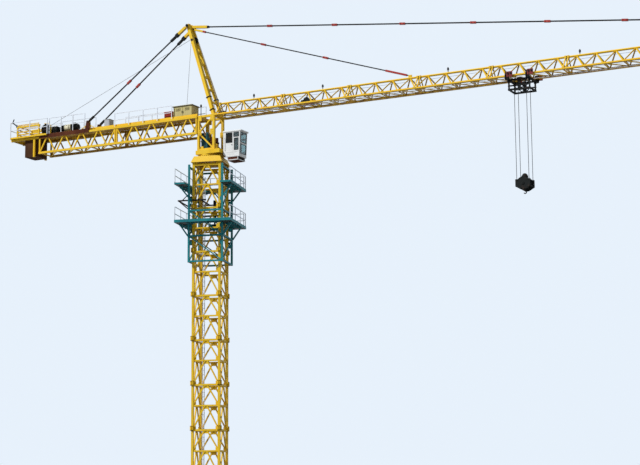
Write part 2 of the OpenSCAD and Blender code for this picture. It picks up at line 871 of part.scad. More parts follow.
// Jib lattice from section a up to section b - 1
module jib_run(a, b) {
    half = jib_w / 2;
    x0 = jib_foot + a * section_l + seat;
    x1 = jib_foot + b * section_l - seat;
    color(yellow) intersection() {
        union() {
            bar([x0, 0, top_z], [x1, 0, top_z], top_chord, 6);
            for (side = [-1, 1]) {
                bar([x0, side * half, jib_z], [x1, side * half, jib_z], jib_chord);
                block([x1 - x0, ledge_w, ledge_t],
                    [(x0 + x1) / 2, side * (half + jib_chord / 2 + ledge_w / 2 - 2), ledge_z]);
            }
            for (k = [a * section_panels : b * section_panels - 1])
                jib_panel(apex_at(k), half, k % section_panels > 0);
            for (s = [a : b - 1]) {
                section_frame(jib_foot + s * section_l + frame_in, half);
                section_frame(jib_foot + (s + 1) * section_l - frame_in, half);
            }
            for (k = [inner_apex, outer_apex])
                if (k >= a * section_panels && k < b * section_panels)
                    block(tie_lug, [apex_at(k), 0, top_z]);
        }
        box([x0, -jib_w, jib_z - jib_h], [x1, jib_w, top_z + jib_h]);
    }
}

// Bracing of one jib panel whose apex is at x, with a cross bar at its start between panels
module jib_panel(x, half, cross_bar) {
    for (side = [-1, 1]) {
        bar([x - panel_l / 2, side * half, jib_z], [x, 0, top_z], jib_bar);
        bar([x, 0, top_z], [x + panel_l / 2, side * half, jib_z], jib_bar);
    }
    if (cross_bar) bar([x - panel_l / 2, -half, jib_z], [x - panel_l / 2, half, jib_z], jib_bar);
    bar([x - panel_l / 2, -half, jib_z], [x + panel_l / 2, half, jib_z], jib_bar - 6);
}

// End frame of a jib section at x, with the collar of the pinned top chord joint
module section_frame(x, half) {
    for (side = [-1, 1]) {
        bar([x, side * half, jib_z], [x, 0, top_z], jib_bar - 4);
        block([60, jib_chord - 8, 18], [x, side * half, jib_z + jib_chord / 2 - 3]);
    }
    bar([x, -half, jib_z], [x, half, jib_z], jib_bar);
    block([60, top_chord + 24, top_chord + 24], [x, 0, top_z - top_chord / 2 - 12]);
}

module jib_root() {
    jib_run(0, 2);
}

module jib_inner() {
    jib_run(2, 4);
}

module jib_middle() {
    jib_run(4, 6);
}

module jib_outer() {
    jib_run(6, 8);
}

module jib_tip() {
    jib_run(8, jib_sections);
}

// Tie bar from the end of its arm at p to the lug q, with a coupling every 2.5 m
module tie(p, q, t) {
    u = toward(p, q);
    couplings = floor((norm(q - p) - 900) / section_l);
    difference() {
        union() {
            bar(p + seat * u, q, t);
            for (k = [1 : couplings])
                bar(p + (k * section_l - 80) * u, p + (k * section_l + 80) * u, t + 22);
        }
        block(tie_lug + 2 * seat * [1, 1, 1], q - [0, 0, tie_lug[2] - 30 + seat]);
    }
}

module inner_tie() {
    color(dark) tie(inner_joint, inner_lug, 34);
}

module outer_tie() {
    color(dark) tie(outer_joint, outer_lug, 38);
}

module trolley_winch() {
    x = (apex_at(winch_apex - 1) + apex_at(winch_apex + 1)) / 2;
    base = jib_z + jib_bar / 2 + seat;
    color(red) union() {
        block([panel_l + 60, 260, 20], [x, 0, base]);
        for (y = [-105, 105]) block([160, 20, 150], [x, y, base]);
        translate([x, 120, base + 120]) rotate([90, 0, 0]) cylinder(h = 240, d = 180, $fn = 48);
        block([180, 120, 110], [x + 220, 0, base]);
    }
}

// Radius of a rope's centre line on a sheave of this pitch diameter
function rope_r(pitch_d) = pitch_d / 2 + seat;
rope_run = toward(cathead_at(sheave_f), drum_at);
// Upward normal of the rope that runs from the cathead sheave to the drum
rope_up = [rope_run[2], 0, -rope_run[0]];

module hoist_rope() {
    s = cathead_at(sheave_f);
    color("silver") {
        bar(s + rope_r(guide_d) * rope_up, drum_at + rope_r(drum_d + rope_d) * rope_up, rope_d, 6);
    }
}

// Trolley and hook

wheel_x = 340;
cheek_y = jib_w / 2 + jib_chord / 2 + ledge_w + 14;
// Heights of the cross beams under the jib and of the bottom rails of the sheave frame
beam_z = jib_z - 120;
cradle_z = jib_z - 430;
wheel_z = ledge_z + ledge_t + wheel_d / 2 + seat;
sheave_z = cradle_z + 190;
// Positions of the rope falls about the middle of the trolley
fall_x = sheave_d / 2;
fall_y = 180;

module trolley_frame() {
    frame_x = wheel_x + 30;
    frame_y = fall_y + 90;
    hanger = beam_z - 20;
    color(dark) translate([trolley_x, 0, 0]) union() {
        for (side = [-1, 1], x = [-wheel_x, wheel_x]) {
            block([130, 20, wheel_z + 60 - hanger], [x, side * cheek_y, hanger]);
            translate([x, side * cheek_y, wheel_z]) rotate([side * 90, 0, 0])
                cylinder(h = cheek_y - jib_w / 2 - jib_chord / 2 - 6, d = 40, $fn = 40);
            bar([x, side * frame_y, cradle_z], [x, side * frame_y, beam_z], 44);
        }
        for (x = [-wheel_x, wheel_x]) {
            bar([x, -cheek_y, beam_z], [x, cheek_y, beam_z], 56);
            bar([x, -frame_y, cradle_z], [x, frame_y, cradle_z], 46);
        }
        for (y = [-frame_y, frame_y]) {
            for (rail = [[beam_z, 50], [cradle_z + 120, 38], [cradle_z, 52]])
                bar([-frame_x, y, rail[0]], [frame_x, y, rail[0]], rail[1]);
            block([110, 20, beam_z - cradle_z], [0, y, cradle_z]);
        }
        translate([0, frame_y, sheave_z]) rotate([90, 0, 0]) cylinder(h = 2 * frame_y, d = axle_d, $fn = 40);
    }
}

module trolley_wheels() {
    face = jib_w / 2 + jib_chord / 2 + 12;
    color(dark) translate([trolley_x, 0, 0]) for (side = [-1, 1], x = [-wheel_x, wheel_x])
        translate([x, side * face, wheel_z]) rotate([side * -90, 0, 0]) difference() {
            cylinder(h = 30, d = wheel_d, $fn = 48);
            translate([0, 0, -1]) cylinder(h = 32, d = 40 + 2 * seat, $fn = 40);
        }
}

module trolley_sheaves() {
    color(dark) translate([trolley_x, 0, sheave_z]) for (y = [-fall_y, fall_y])
        translate([0, y, 0]) sheave(sheave_d, axle_d + 2 * seat);
}

shank_d = 38;
// Depth of the crosshead's underside below the sheave axis
crosshead = 130;

module hoist_falls() {
    color("silver") translate([trolley_x, 0, 0]) for (x = [-fall_x, fall_x], y = [-fall_y, fall_y])
        translate([x, y, block_z]) cylinder(h = sheave_z - block_z, d = rope_d, $fn = 8);
}

module hook_block() {
    cheek = 16;
    gap = rope_d + 12;
    outer = fall_y + gap + cheek;
    // Width between the middles of the two inner plates
    middle = 2 * (fall_y - gap) - cheek;
    // Half the length of a plate, and the spacer bars in its lower corners, clear of the sheaves
    plate_x = 240;
    spacer_x = plate_x - 18;
    spacer_z = -84;
    color(dark) translate([trolley_x, 0, block_z]) difference() {
        union() {
            for (y = [-fall_y - gap, -fall_y + gap + cheek, fall_y - gap, outer])
                translate([0, y, 0]) rotate([90, 0, 0]) linear_extrude(cheek)
                    polygon([[-plate_x, 130], [-plate_x, -100], [-60, -200], [60, -200],
                        [plate_x, -100], [plate_x, 130]]);
            translate([0, outer, 0]) rotate([90, 0, 0]) cylinder(h = 2 * outer, d = axle_d, $fn = 40);
            for (x = [-spacer_x, spacer_x])
                bar([x, cheek / 2 - outer, spacer_z], [x, outer - cheek / 2, spacer_z], 24);
            block([160, middle, 60], [0, 0, -crosshead]);
            block([230, middle, 50], [0, 0, 90]);
            translate([0, 0, 120]) cylinder(h = 130, d = 210, $fn = 48);
            translate([0, 0, 250]) cylinder(h = 70, d1 = 210, d2 = 120, $fn = 48);
        }
        translate([0, 0, -crosshead - 30]) cylinder(h = 120, d = shank_d + 2 * seat, $fn = 40);
    }
}

module block_sheaves() {
    color(dark) translate([trolley_x, 0, block_z]) for (y = [-fall_y, fall_y])
        translate([0, y, 0]) sheave(sheave_d, axle_d + 2 * seat);
}

module hook() {
    bend_r = 42;
    drop = 130;
    wire = 28;
    color(dark) translate([trolley_x, 0, block_z - crosshead]) union() {
        translate([0, 0, -drop + bend_r - 5]) cylinder(h = drop - bend_r + 75, d = shank_d, $fn = 40);
        translate([0, 0, 60 + seat]) cylinder(h = 12, d = 80, $fn = 40);
        translate([0, 0, -drop]) rotate([90, 0, 0]) rotate([0, 0, 90])
            rotate_extrude(angle = -250, $fn = 64) translate([bend_r, 0]) circle(d = wire, $fn = 24);
    }
}

base_cross();
base_struts();
mast_front();
mast_back();
mast_left();
mast_right();
mast_ladder();
cage_front();
cage_back();
cage_left();
cage_right();
upper_platform();
lower_platform();
cage_railings();
jacking_ram();
lower_support();
slewing_deck();
slewing_tower();
slewing_motors();
cab_shell();
cab_glass();
cab_platform();
cathead_legs();
cathead_ladder();
cathead_head();
cathead_sheave();
counter_jib_near();
counter_jib_far();
counter_jib_bracing();
counter_jib_deck();
counter_jib_railings();
tail_platform();
hoist_winch();
control_cabinet();
resistor_box();
switch_cabinet();
counterweights();
counter_jib_ties();
jib_root();
jib_inner();
jib_middle();
jib_outer();
jib_tip();
inner_tie();
outer_tie();
trolley_winch();
hoist_rope();
trolley_frame();
trolley_wheels();
trolley_sheaves();
hoist_falls();
hook_block();
block_sheaves();
hook();
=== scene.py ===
"""Looks of a saddle-jib tower crane with a climbing cage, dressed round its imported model."""
import json
import logging
import math
from collections.abc import Iterator
from dataclasses import dataclass
from enum import Enum
from itertools import product

import bmesh
import bpy
from mathutils import Matrix, Vector


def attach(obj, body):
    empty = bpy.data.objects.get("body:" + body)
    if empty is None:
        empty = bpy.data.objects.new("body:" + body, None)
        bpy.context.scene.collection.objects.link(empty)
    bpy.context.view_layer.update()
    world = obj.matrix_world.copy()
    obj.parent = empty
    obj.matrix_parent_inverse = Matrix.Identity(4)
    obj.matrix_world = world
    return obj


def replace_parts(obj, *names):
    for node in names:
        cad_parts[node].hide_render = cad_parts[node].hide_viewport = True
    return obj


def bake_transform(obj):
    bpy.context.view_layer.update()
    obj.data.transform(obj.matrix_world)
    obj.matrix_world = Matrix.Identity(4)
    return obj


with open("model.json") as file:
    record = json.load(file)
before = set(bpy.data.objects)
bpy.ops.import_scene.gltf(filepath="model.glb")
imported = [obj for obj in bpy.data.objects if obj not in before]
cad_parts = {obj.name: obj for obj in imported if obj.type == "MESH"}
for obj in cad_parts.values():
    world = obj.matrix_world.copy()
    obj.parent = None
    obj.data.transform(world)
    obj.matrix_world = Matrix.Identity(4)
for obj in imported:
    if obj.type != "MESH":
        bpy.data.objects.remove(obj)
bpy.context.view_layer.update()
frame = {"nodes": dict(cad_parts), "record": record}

LOG = logging.getLogger("crane")
Colour = tuple[float, float, float]
Socket = bpy.types.NodeSocket
SIDES = (-1, 1)
CROSSWISE = (0, 1, 0)
MAST_TURN = 14.0
SMOOTH_BELOW = 35.0


class Body(str, Enum):
    """The parts of the crane that move against each other."""

    MAST = "mast"
    UPPER = "upper_works"
    TROLLEY = "trolley"
    BLOCK = "block"
    HOOK = "hook"


class Slot(str, Enum):
    """The finishes of the crane, by the names of the record's slots."""

    YELLOW = "crane_yellow"
    TEAL = "cage_teal"
    GALVANISED = "galvanised"
    DARK = "dark_steel"
    MOTOR = "motor_green"
    WHITE = "cab_white"
    GLASS = "glass"
    KHAKI = "cabinet_khaki"
    GREY = "cabinet_grey"
    RED = "red_paint"
    BALLAST = "ballast_brown"
    ROPE = "wire_rope"


def span(side: int, near: float, far: float) -> list[float]:
    """Gives the low and the high y between two distances from the middle, on one side."""
    return sorted((side * near, side * far))


def quarter(number: int) -> Matrix:
    """Gives a turn about the vertical by a number of quarters."""
    return Matrix.Rotation(math.radians(90 * number), 4, "Z")


def rim(count: int, radius: float, first: float = 0.0) -> Iterator[tuple[float, float, float]]:
    """Gives places spaced evenly round a circle.

    Args:
        count: The number of places.
        radius: The circle's radius.
        first: The angle of the first place.

    Yields:
        The angle and the two distances from the circle's centre.
    """
    for number in range(count):
        angle = 2 * math.pi * number / count + first
        yield angle, radius * math.cos(angle), radius * math.sin(angle)


def evenly(low: float, high: float, count: int) -> list[float]:
    """Gives a number of values from low to high, spaced evenly."""
    return [low + number * (high - low) / (count - 1) for number in range(count)]


def shade(colour: Colour, factor: float, lift: float = 0.0) -> Colour:
    """Gives a colour that is darker or lighter by a factor and a lift."""
    return tuple(min(1.0, channel * factor + lift) for channel in colour)


def rgba(colour: Colour | Socket) -> tuple | Socket:
    """Gives a colour with full cover, or a socket as it is."""
    return colour if isinstance(colour, Socket) else (*colour, 1.0)


class NodeGraph:
    """A small builder for a node tree."""

    def __init__(self, tree: bpy.types.NodeTree) -> None:
        """Starts with an empty tree."""
        self.tree = tree
        self.tree.nodes.clear()

    def add(self, kind: str, inputs: dict | None = None, **settings: object) -> bpy.types.Node:
        """Adds a node.

        Args:
            kind: The node's type without the ShaderNode prefix.
            inputs: Socket name or number to a value or to another node's output socket.
            **settings: Attributes of the node.

        Returns:
            The new node.
        """
        node = self.tree.nodes.new("ShaderNode" + kind)
        for key, value in settings.items():
            setattr(node, key, value)
        for key, value in (inputs or {}).items():
            if isinstance(value, Socket):
                self.tree.links.new(value, node.inputs[key])
            else:
                node.inputs[key].default_value = value
        return node

    def larger(self, first: Socket, second: Socket) -> Socket:
        """Gives the larger of two values."""
        return self.add("Math", {0: first, 1: second}, operation="MAXIMUM").outputs[0]


class Surface(NodeGraph):
    """The node tree of one material, with the noises and masks that a finish is mixed from."""

    def __init__(self, name: str) -> None:
        """Starts a material with only its output and its coordinates."""
        self.material = bpy.data.materials.new(name)
        self.material.use_nodes = True
        super().__init__(self.material.node_tree)
        self.output = self.add("OutputMaterial")
        coords = self.add("TexCoord")
        self.place, self.facing = coords.outputs["Object"], coords.outputs["Normal"]

    def scaled(self, scale: tuple, turn: float = 0.0) -> Socket:
        """Gives Object coordinates turned about Z by degrees and scaled per axis."""
        turned = (0.0, 0.0, math.radians(turn))
        mapping = self.add("Mapping", {"Vector": self.place, "Rotation": turned, "Scale": scale})
        return mapping.outputs["Vector"]

    def noise(self, scale: float, detail: float = 4.0, vector: Socket | None = None) -> Socket:
        """Gives a noise value from 0 to 1.

        Args:
            scale: Waves a metre.
            detail: Octaves.
            vector: Other coordinates than the object's own.

        Returns:
            The value socket.
        """
        inputs = {"Vector": vector or self.place, "Scale": scale, "Detail": detail}
        return self.add("TexNoise", inputs).outputs["Fac"]

    def cells(self, scale: float) -> Socket:
        """Gives the distance from the middle of each cell of a crystal pattern."""
        return self.add("TexVoronoi", {"Vector": self.place, "Scale": scale}).outputs["Distance"]

    def step(self, value: Socket, low: float, high: float) -> Socket:
        """Maps a value so that low gives 0 and high gives 1, clamped."""
        return self.add("MapRange", {"Value": value, "From Min": low, "From Max": high}).outputs["Result"]

    def between(self, value: Socket, low: float, high: float) -> Socket:
        """Maps a value from 0 to 1 onto low to high."""
        return self.add("MapRange", {"Value": value, "To Min": low, "To Max": high}).outputs["Result"]

    def patches(self, scale: float, detail: float, low: float, high: float) -> Socket:
        """Gives patches: 1 where the noise is past high and 0 where it is below low."""
        return self.step(self.noise(scale, detail), low, high)

    def times(self, value: Socket, *factors: float | Socket) -> Socket:
        """Multiplies a value by numbers or by other values."""
        for factor in factors:
            value = self.add("Math", {0: value, 1: factor}, operation="MULTIPLY").outputs[0]
        return value

    def mix(self, share: Socket, first: Colour | Socket, second: Colour | Socket) -> Socket:
        """Mixes two colours by the share of the second."""
        inputs = {"Factor": share, 6: rgba(first), 7: rgba(second)}
        return self.add("Mix", inputs, data_type="RGBA").outputs[2]

    def up(self) -> Socket:
        """Gives how far the surface faces up, from -1 to 1."""
        return self.add("SeparateXYZ", {"Vector": self.facing}).outputs["Z"]

    def inward(self, axis: tuple[float, float]) -> Socket:
        """Gives how far the surface faces the lattice's own middle, from 0 to 1.

        Args:
            axis: The shares of X and of Y in the way to the middle.

        Returns:
            The value socket.
        """
        away = self.add("VectorMath", {0: self.place, 1: (*axis, 0.0)}, operation="MULTIPLY").outputs[0]
        facing = self.add("VectorMath", {0: away, 1: self.facing}, operation="DOT_PRODUCT")
        return self.step(facing.outputs["Value"], -0.04, -0.20)

    def edges(self, radius: float) -> Socket:
        """Gives 1 near sharp edges and 0 on flats."""
        bevel = self.add("Bevel", {"Radius": radius}, samples=4).outputs["Normal"]
        flat = self.add("NewGeometry").outputs["Normal"]
        dot = self.add("VectorMath", {0: bevel, 1: flat}, operation="DOT_PRODUCT")
        return self.step(dot.outputs["Value"], 0.985, 0.90)

    def bump(self, height: Socket, distance: float) -> Socket:
        """Turns a height into a normal."""
        return self.add("Bump", {"Height": height, "Strength": 1.0, "Distance": distance}).outputs["Normal"]

    def shader(self, colour: Colour | Socket, roughness: float | Socket, metallic: float = 0.0,
               normal: Socket | None = None, **fixed: float) -> bpy.types.Material:
        """Finishes the material with a Principled shader.

        Args:
            colour: A colour or a colour socket.
            roughness: A number or a value socket.
            metallic: How metallic the surface is.
            normal: The normal socket.
            **fixed: Other sockets, with _ for a space.

        Returns:
            The finished material.
        """
        inputs = {"Base Color": rgba(colour), "Metallic": metallic, "Roughness": roughness}
        if normal is not None:
            inputs["Normal"] = normal
        inputs |= {key.replace("_", " "): value for key, value in fixed.items()}
        node = self.add("BsdfPrincipled", inputs)
        self.tree.links.new(node.outputs["BSDF"], self.output.inputs["Surface"])
        return self.material


RUST, OIL, GREASE = (0.22, 0.07, 0.02), (0.12, 0.05, 0.025), (0.03, 0.028, 0.025)


@dataclass(frozen=True)
class Paint:
    """Site-worn paint: tone varies, dirt runs down, edges chip to primer and rust blooms in spots; painted
    shade darkens the undersides and the faces turned to the lattice's middle.
    """

    name: str
    colour: Colour
    faded: Colour
    # The dirt colour tints the grime runs and is also the colour of the painted shade on undersides and
    # inner faces.
    dirt: Colour = (0.10, 0.06, 0.03)
    dirt_share: float = 0.45
    rust_share: float = 0.5
    # Strength and patch cutoff of the painted shade on downward faces.
    underside_shade_share: float = 0.75
    underside_shade_cutoff: float = 0.25
    # The X and Y shares of the way to the lattice's middle, and the strength of the painted shade on faces
    # turned that way.
    inner: tuple[float, float] = (0.0, 0.0)
    inner_shade_share: float = 0.72
    worn: Colour = (0.16, 0.10, 0.07)
    roughness: float = 0.48
    shine: float = 0.25

    def material(self) -> bpy.types.Material:
        """Builds the material."""
        graph = Surface(self.name)
        colour = graph.mix(graph.patches(1.7, 3.0, 0.35, 0.68), self.colour, self.faded)
        runs = graph.step(graph.noise(1.0, 5.0, graph.scaled((16.0, 16.0, 1.6))), 0.50, 0.72)
        grime = graph.times(runs, graph.patches(2.6, 4.0, 0.42, 0.72), self.dirt_share)
        colour = graph.mix(grime, colour, self.dirt)
        # Painted shade: downward faces are darkened towards the dirt colour, in patches.
        shade_patches = graph.patches(7.0, 4.0, self.underside_shade_cutoff, self.underside_shade_cutoff + 0.30)
        below = graph.times(graph.step(graph.up(), -0.35, -0.90), shade_patches, self.underside_shade_share)
        colour = graph.mix(below, colour, self.dirt)
        # Painted shade: faces turned towards the lattice's middle, such as the far chords, are darkened
        # towards the dirt colour in patches.
        if any(self.inner):
            shade_patches = graph.patches(3.3, 4.0, 0.20, 0.55)
            inside = graph.times(graph.inward(self.inner), shade_patches, self.inner_shade_share)
            colour = graph.mix(inside, colour, self.dirt)
        spots = graph.patches(38.0, 6.0, 0.66, 0.74)
        bloom = graph.times(spots, graph.patches(3.1, 2.0, 0.5, 0.66), self.rust_share)
        colour = graph.mix(bloom, colour, RUST)
        chips = graph.times(graph.edges(0.006), graph.patches(22.0, 5.0, 0.50, 0.60))
        colour = graph.mix(chips, colour, self.worn)
        rough = graph.between(graph.noise(9.0), self.roughness - 0.08, self.roughness + 0.14)
        normal = graph.bump(graph.noise(140.0, 3.0), 0.0006)
        return graph.shader(colour, rough, 0.0, normal, Specular_IOR_Level=self.shine)


@dataclass(frozen=True)
class Steel:
    """Bare, galvanised or blackened steel with a spangle and oily patches."""

    name: str
    colour: Colour
    mottle: Colour
    metallic: float = 0.6
    roughness: float = 0.45
    grain: float = 60.0
    rust_share: float = 0.25
    shine: float = 0.5

    def material(self) -> bpy.types.Material:
        """Builds the material."""
        graph = Surface(self.name)
        colour = graph.mix(graph.step(graph.cells(self.grain), 0.0, 0.9), self.colour, self.mottle)
        colour = graph.mix(graph.times(graph.patches(5.0, 5.0, 0.52, 0.70), self.rust_share), colour, OIL)
        colour = graph.mix(graph.times(graph.edges(0.004), 0.5), colour, shade(self.colour, 1.6, 0.05))
        rough = graph.between(graph.noise(12.0), self.roughness - 0.1, self.roughness + 0.15)
        normal = graph.bump(graph.noise(90.0, 4.0), 0.0005)
        return graph.shader(colour, rough, self.metallic, normal, Specular_IOR_Level=self.shine)


@dataclass(frozen=True)
class Strands:
    """Wire rope: strands laid round the rope, shown by a slanted wave in relief and by painted shade in the
    grooves between them.
    """

    name: str
    colour: Colour
    pitch: float = 40.0

    def material(self) -> bpy.types.Material:
        """Builds the material."""
        graph = Surface(self.name)
        inputs = {"Vector": graph.place, "Scale": self.pitch, "Distortion": 0.6, "Detail": 1.0}
        grooves = graph.add("TexWave", inputs, bands_direction="DIAGONAL").outputs["Fac"]
        # Painted shade: the grooves between strands are darkened along the wave.
        colour = graph.mix(grooves, shade(self.colour, 0.35), self.colour)
        colour = graph.mix(graph.times(graph.patches(3.0, 4.0, 0.5, 0.7), 0.5), colour, GREASE)
        return graph.shader(colour, 0.5, 0.5, graph.bump(grooves, 0.0015))


@dataclass(frozen=True)
class Pane:
    """Tinted window glass under a layer of dust."""

    name: str
    tint: Colour

    def material(self) -> bpy.types.Material:
        """Builds the material."""
        graph = Surface(self.name)
        dust = graph.patches(4.0, 5.0, 0.3, 0.9)
        colour = graph.mix(dust, self.tint, shade(self.tint, 0.8, 0.08))
        return graph.shader(colour, graph.between(dust, 0.04, 0.16), Transmission_Weight=0.94, IOR=1.45)


@dataclass(frozen=True)
class Cast:
    """Cast ballast: coarse grit, pores and stains that run down."""

    name: str
    colour: Colour
    stain: Colour

    def material(self) -> bpy.types.Material:
        """Builds the material."""
        graph = Surface(self.name)
        colour = graph.mix(graph.patches(2.2, 6.0, 0.35, 0.7), self.colour, self.stain)
        runs = graph.step(graph.noise(1.0, 5.0, graph.scaled((14.0, 14.0, 1.2))), 0.48, 0.7)
        colour = graph.mix(graph.times(runs, 0.6), colour, shade(self.colour, 0.35))
        grit = graph.times(graph.patches(55.0, 8.0, 0.45, 0.65), 0.35)
        colour = graph.mix(grit, colour, shade(self.colour, 1.5, 0.006))
        pores = graph.step(graph.cells(70.0), 0.0, 0.25)
        return graph.shader(colour, 0.88, 0.0, graph.bump(pores, 0.002), Specular_IOR_Level=0.12)


@dataclass(frozen=True)
class Tread:
    """Chequer-plate steel: crossed raised bars on a painted ground."""

    name: str
    colour: Colour
    worn: Colour

    def material(self) -> bpy.types.Material:
        """Builds the material."""
        graph = Surface(self.name)
        bars = []
        for turn in (45.0, -45.0):
            inputs = {"Vector": graph.scaled((1.0, 0.28, 1.0), turn), "Scale": 34.0, "Randomness": 0.0}
            bars.append(graph.step(graph.add("TexVoronoi", inputs).outputs["Distance"], 0.42, 0.22))
        raised = graph.larger(*bars)
        walked = graph.times(raised, graph.patches(3.0, 4.0, 0.35, 0.65), 0.8)
        dirt = graph.times(graph.patches(6.0, 5.0, 0.45, 0.7), 0.55)
        colour = graph.mix(dirt, self.colour, shade(self.colour, 0.25))
        return graph.shader(graph.mix(walked, colour, self.worn), 0.5, 0.1, graph.bump(raised, 0.002))


# The yellow's dirt is a red brown matched to shadow tones; it colours real grime and the painted shade
# alike.
SITE_YELLOW = {"colour": (0.80, 0.49, 0.008), "faded": (0.80, 0.54, 0.03), "dirt": (0.11, 0.030, 0.010),
               "worn": (0.30, 0.15, 0.04)}
# The lattice paints add painted shade on inner faces: across the jib and counter-jib, and towards the mast's
# axis.
LATTICE_PAINT = Paint("lattice_yellow", inner=(0.0, 1.0), inner_shade_share=0.85, **SITE_YELLOW)
MAST_PAINT = Paint("mast_yellow", inner=(1.0, 1.0), inner_shade_share=0.3, **SITE_YELLOW)
FINISHES = {
    Slot.YELLOW: Paint("crane_yellow", **SITE_YELLOW),
    # The teal's near-black dirt colour paints its undersides almost black in shade.
    Slot.TEAL: Paint("cage_teal", (0.004, 0.17, 0.20), (0.015, 0.23, 0.25), dirt=(0.008, 0.012, 0.011),
                     underside_shade_share=0.95, underside_shade_cutoff=0.02),
    Slot.GALVANISED: Steel("galvanised", (0.52, 0.56, 0.62), (0.66, 0.69, 0.74), metallic=0.35),
    Slot.DARK: Steel("dark_steel", (0.006, 0.008, 0.008), (0.016, 0.018, 0.018), metallic=0.0,
                     roughness=0.65, shine=0.08),
    Slot.MOTOR: Paint("motor_green", (0.004, 0.050, 0.062), (0.012, 0.085, 0.095),
                      dirt=(0.01, 0.012, 0.012)),
    Slot.WHITE: Paint("cab_white", (0.80, 0.82, 0.82), (0.72, 0.73, 0.72), dirt=(0.22, 0.15, 0.11),
                      dirt_share=0.35, underside_shade_share=0.85, rust_share=0.3, worn=(0.42, 0.38, 0.34),
                      roughness=0.3),
    Slot.GLASS: Pane("glass", (0.42, 0.60, 0.62)),
    Slot.KHAKI: Paint("cabinet_khaki", (0.46, 0.40, 0.16), (0.54, 0.47, 0.22)),
    Slot.GREY: Paint("cabinet_grey", (0.36, 0.39, 0.42), (0.45, 0.47, 0.50)),
    Slot.RED: Paint("red_paint", (0.30, 0.012, 0.010), (0.40, 0.035, 0.02), dirt=(0.04, 0.010, 0.008)),
    Slot.BALLAST: Cast("ballast_brown", (0.045, 0.018, 0.007), (0.085, 0.036, 0.014)),
    Slot.ROPE: Strands("wire_rope", (0.46, 0.47, 0.50)),
}
BLACK = Steel("black_rubber", (0.012, 0.012, 0.013), (0.02, 0.02, 0.022), metallic=0.0, roughness=0.7,
              rust_share=0.0)
# Dark brown cast finish: the own colour of the gearboxes and tie bracket plates, and painted shade on the
# strips by the winch and under the cab.
DARK_BROWN_AND_SHADE = Cast("dark_brown_and_painted_shade", (0.060, 0.014, 0.007), (0.13, 0.040, 0.015))
HOUSING_RED = Paint("housing_red", (0.13, 0.008, 0.010), (0.22, 0.018, 0.018), dirt=(0.015, 0.006, 0.006))
CREAM = Paint("brake_cream", (0.74, 0.68, 0.46), (0.80, 0.75, 0.56), dirt_share=0.25)
GREASED = Strands("greased_rope", (0.05, 0.055, 0.065))
DRUM_ROPE = Strands("drum_rope", (0.62, 0.57, 0.42), 55.0)
TEAL_TREAD = Tread("teal_tread", (0.01, 0.17, 0.20), (0.10, 0.30, 0.32))
YELLOW_TREAD = Tread("yellow_tread", (0.62, 0.36, 0.02), (0.80, 0.55, 0.14))
Finish = Slot | Paint | Steel | Strands | Pane | Cast | Tread


class Finishes:
    """Builds each finish once and hands it out."""

    def __init__(self) -> None:
        """Starts with nothing built."""
        self.built: dict[str, bpy.types.Material] = {}

    def of(self, finish: Finish) -> bpy.types.Material:
        """Gives the material of a slot or of a finish.

        Args:
            finish: A slot of the record or a finish of its own.

        Returns:
            The material.
        """
        recipe = FINISHES[finish] if isinstance(finish, Slot) else finish
        if recipe.name not in self.built:
            self.built[recipe.name] = recipe.material()
        return self.built[recipe.name]


FINISH = Finishes()


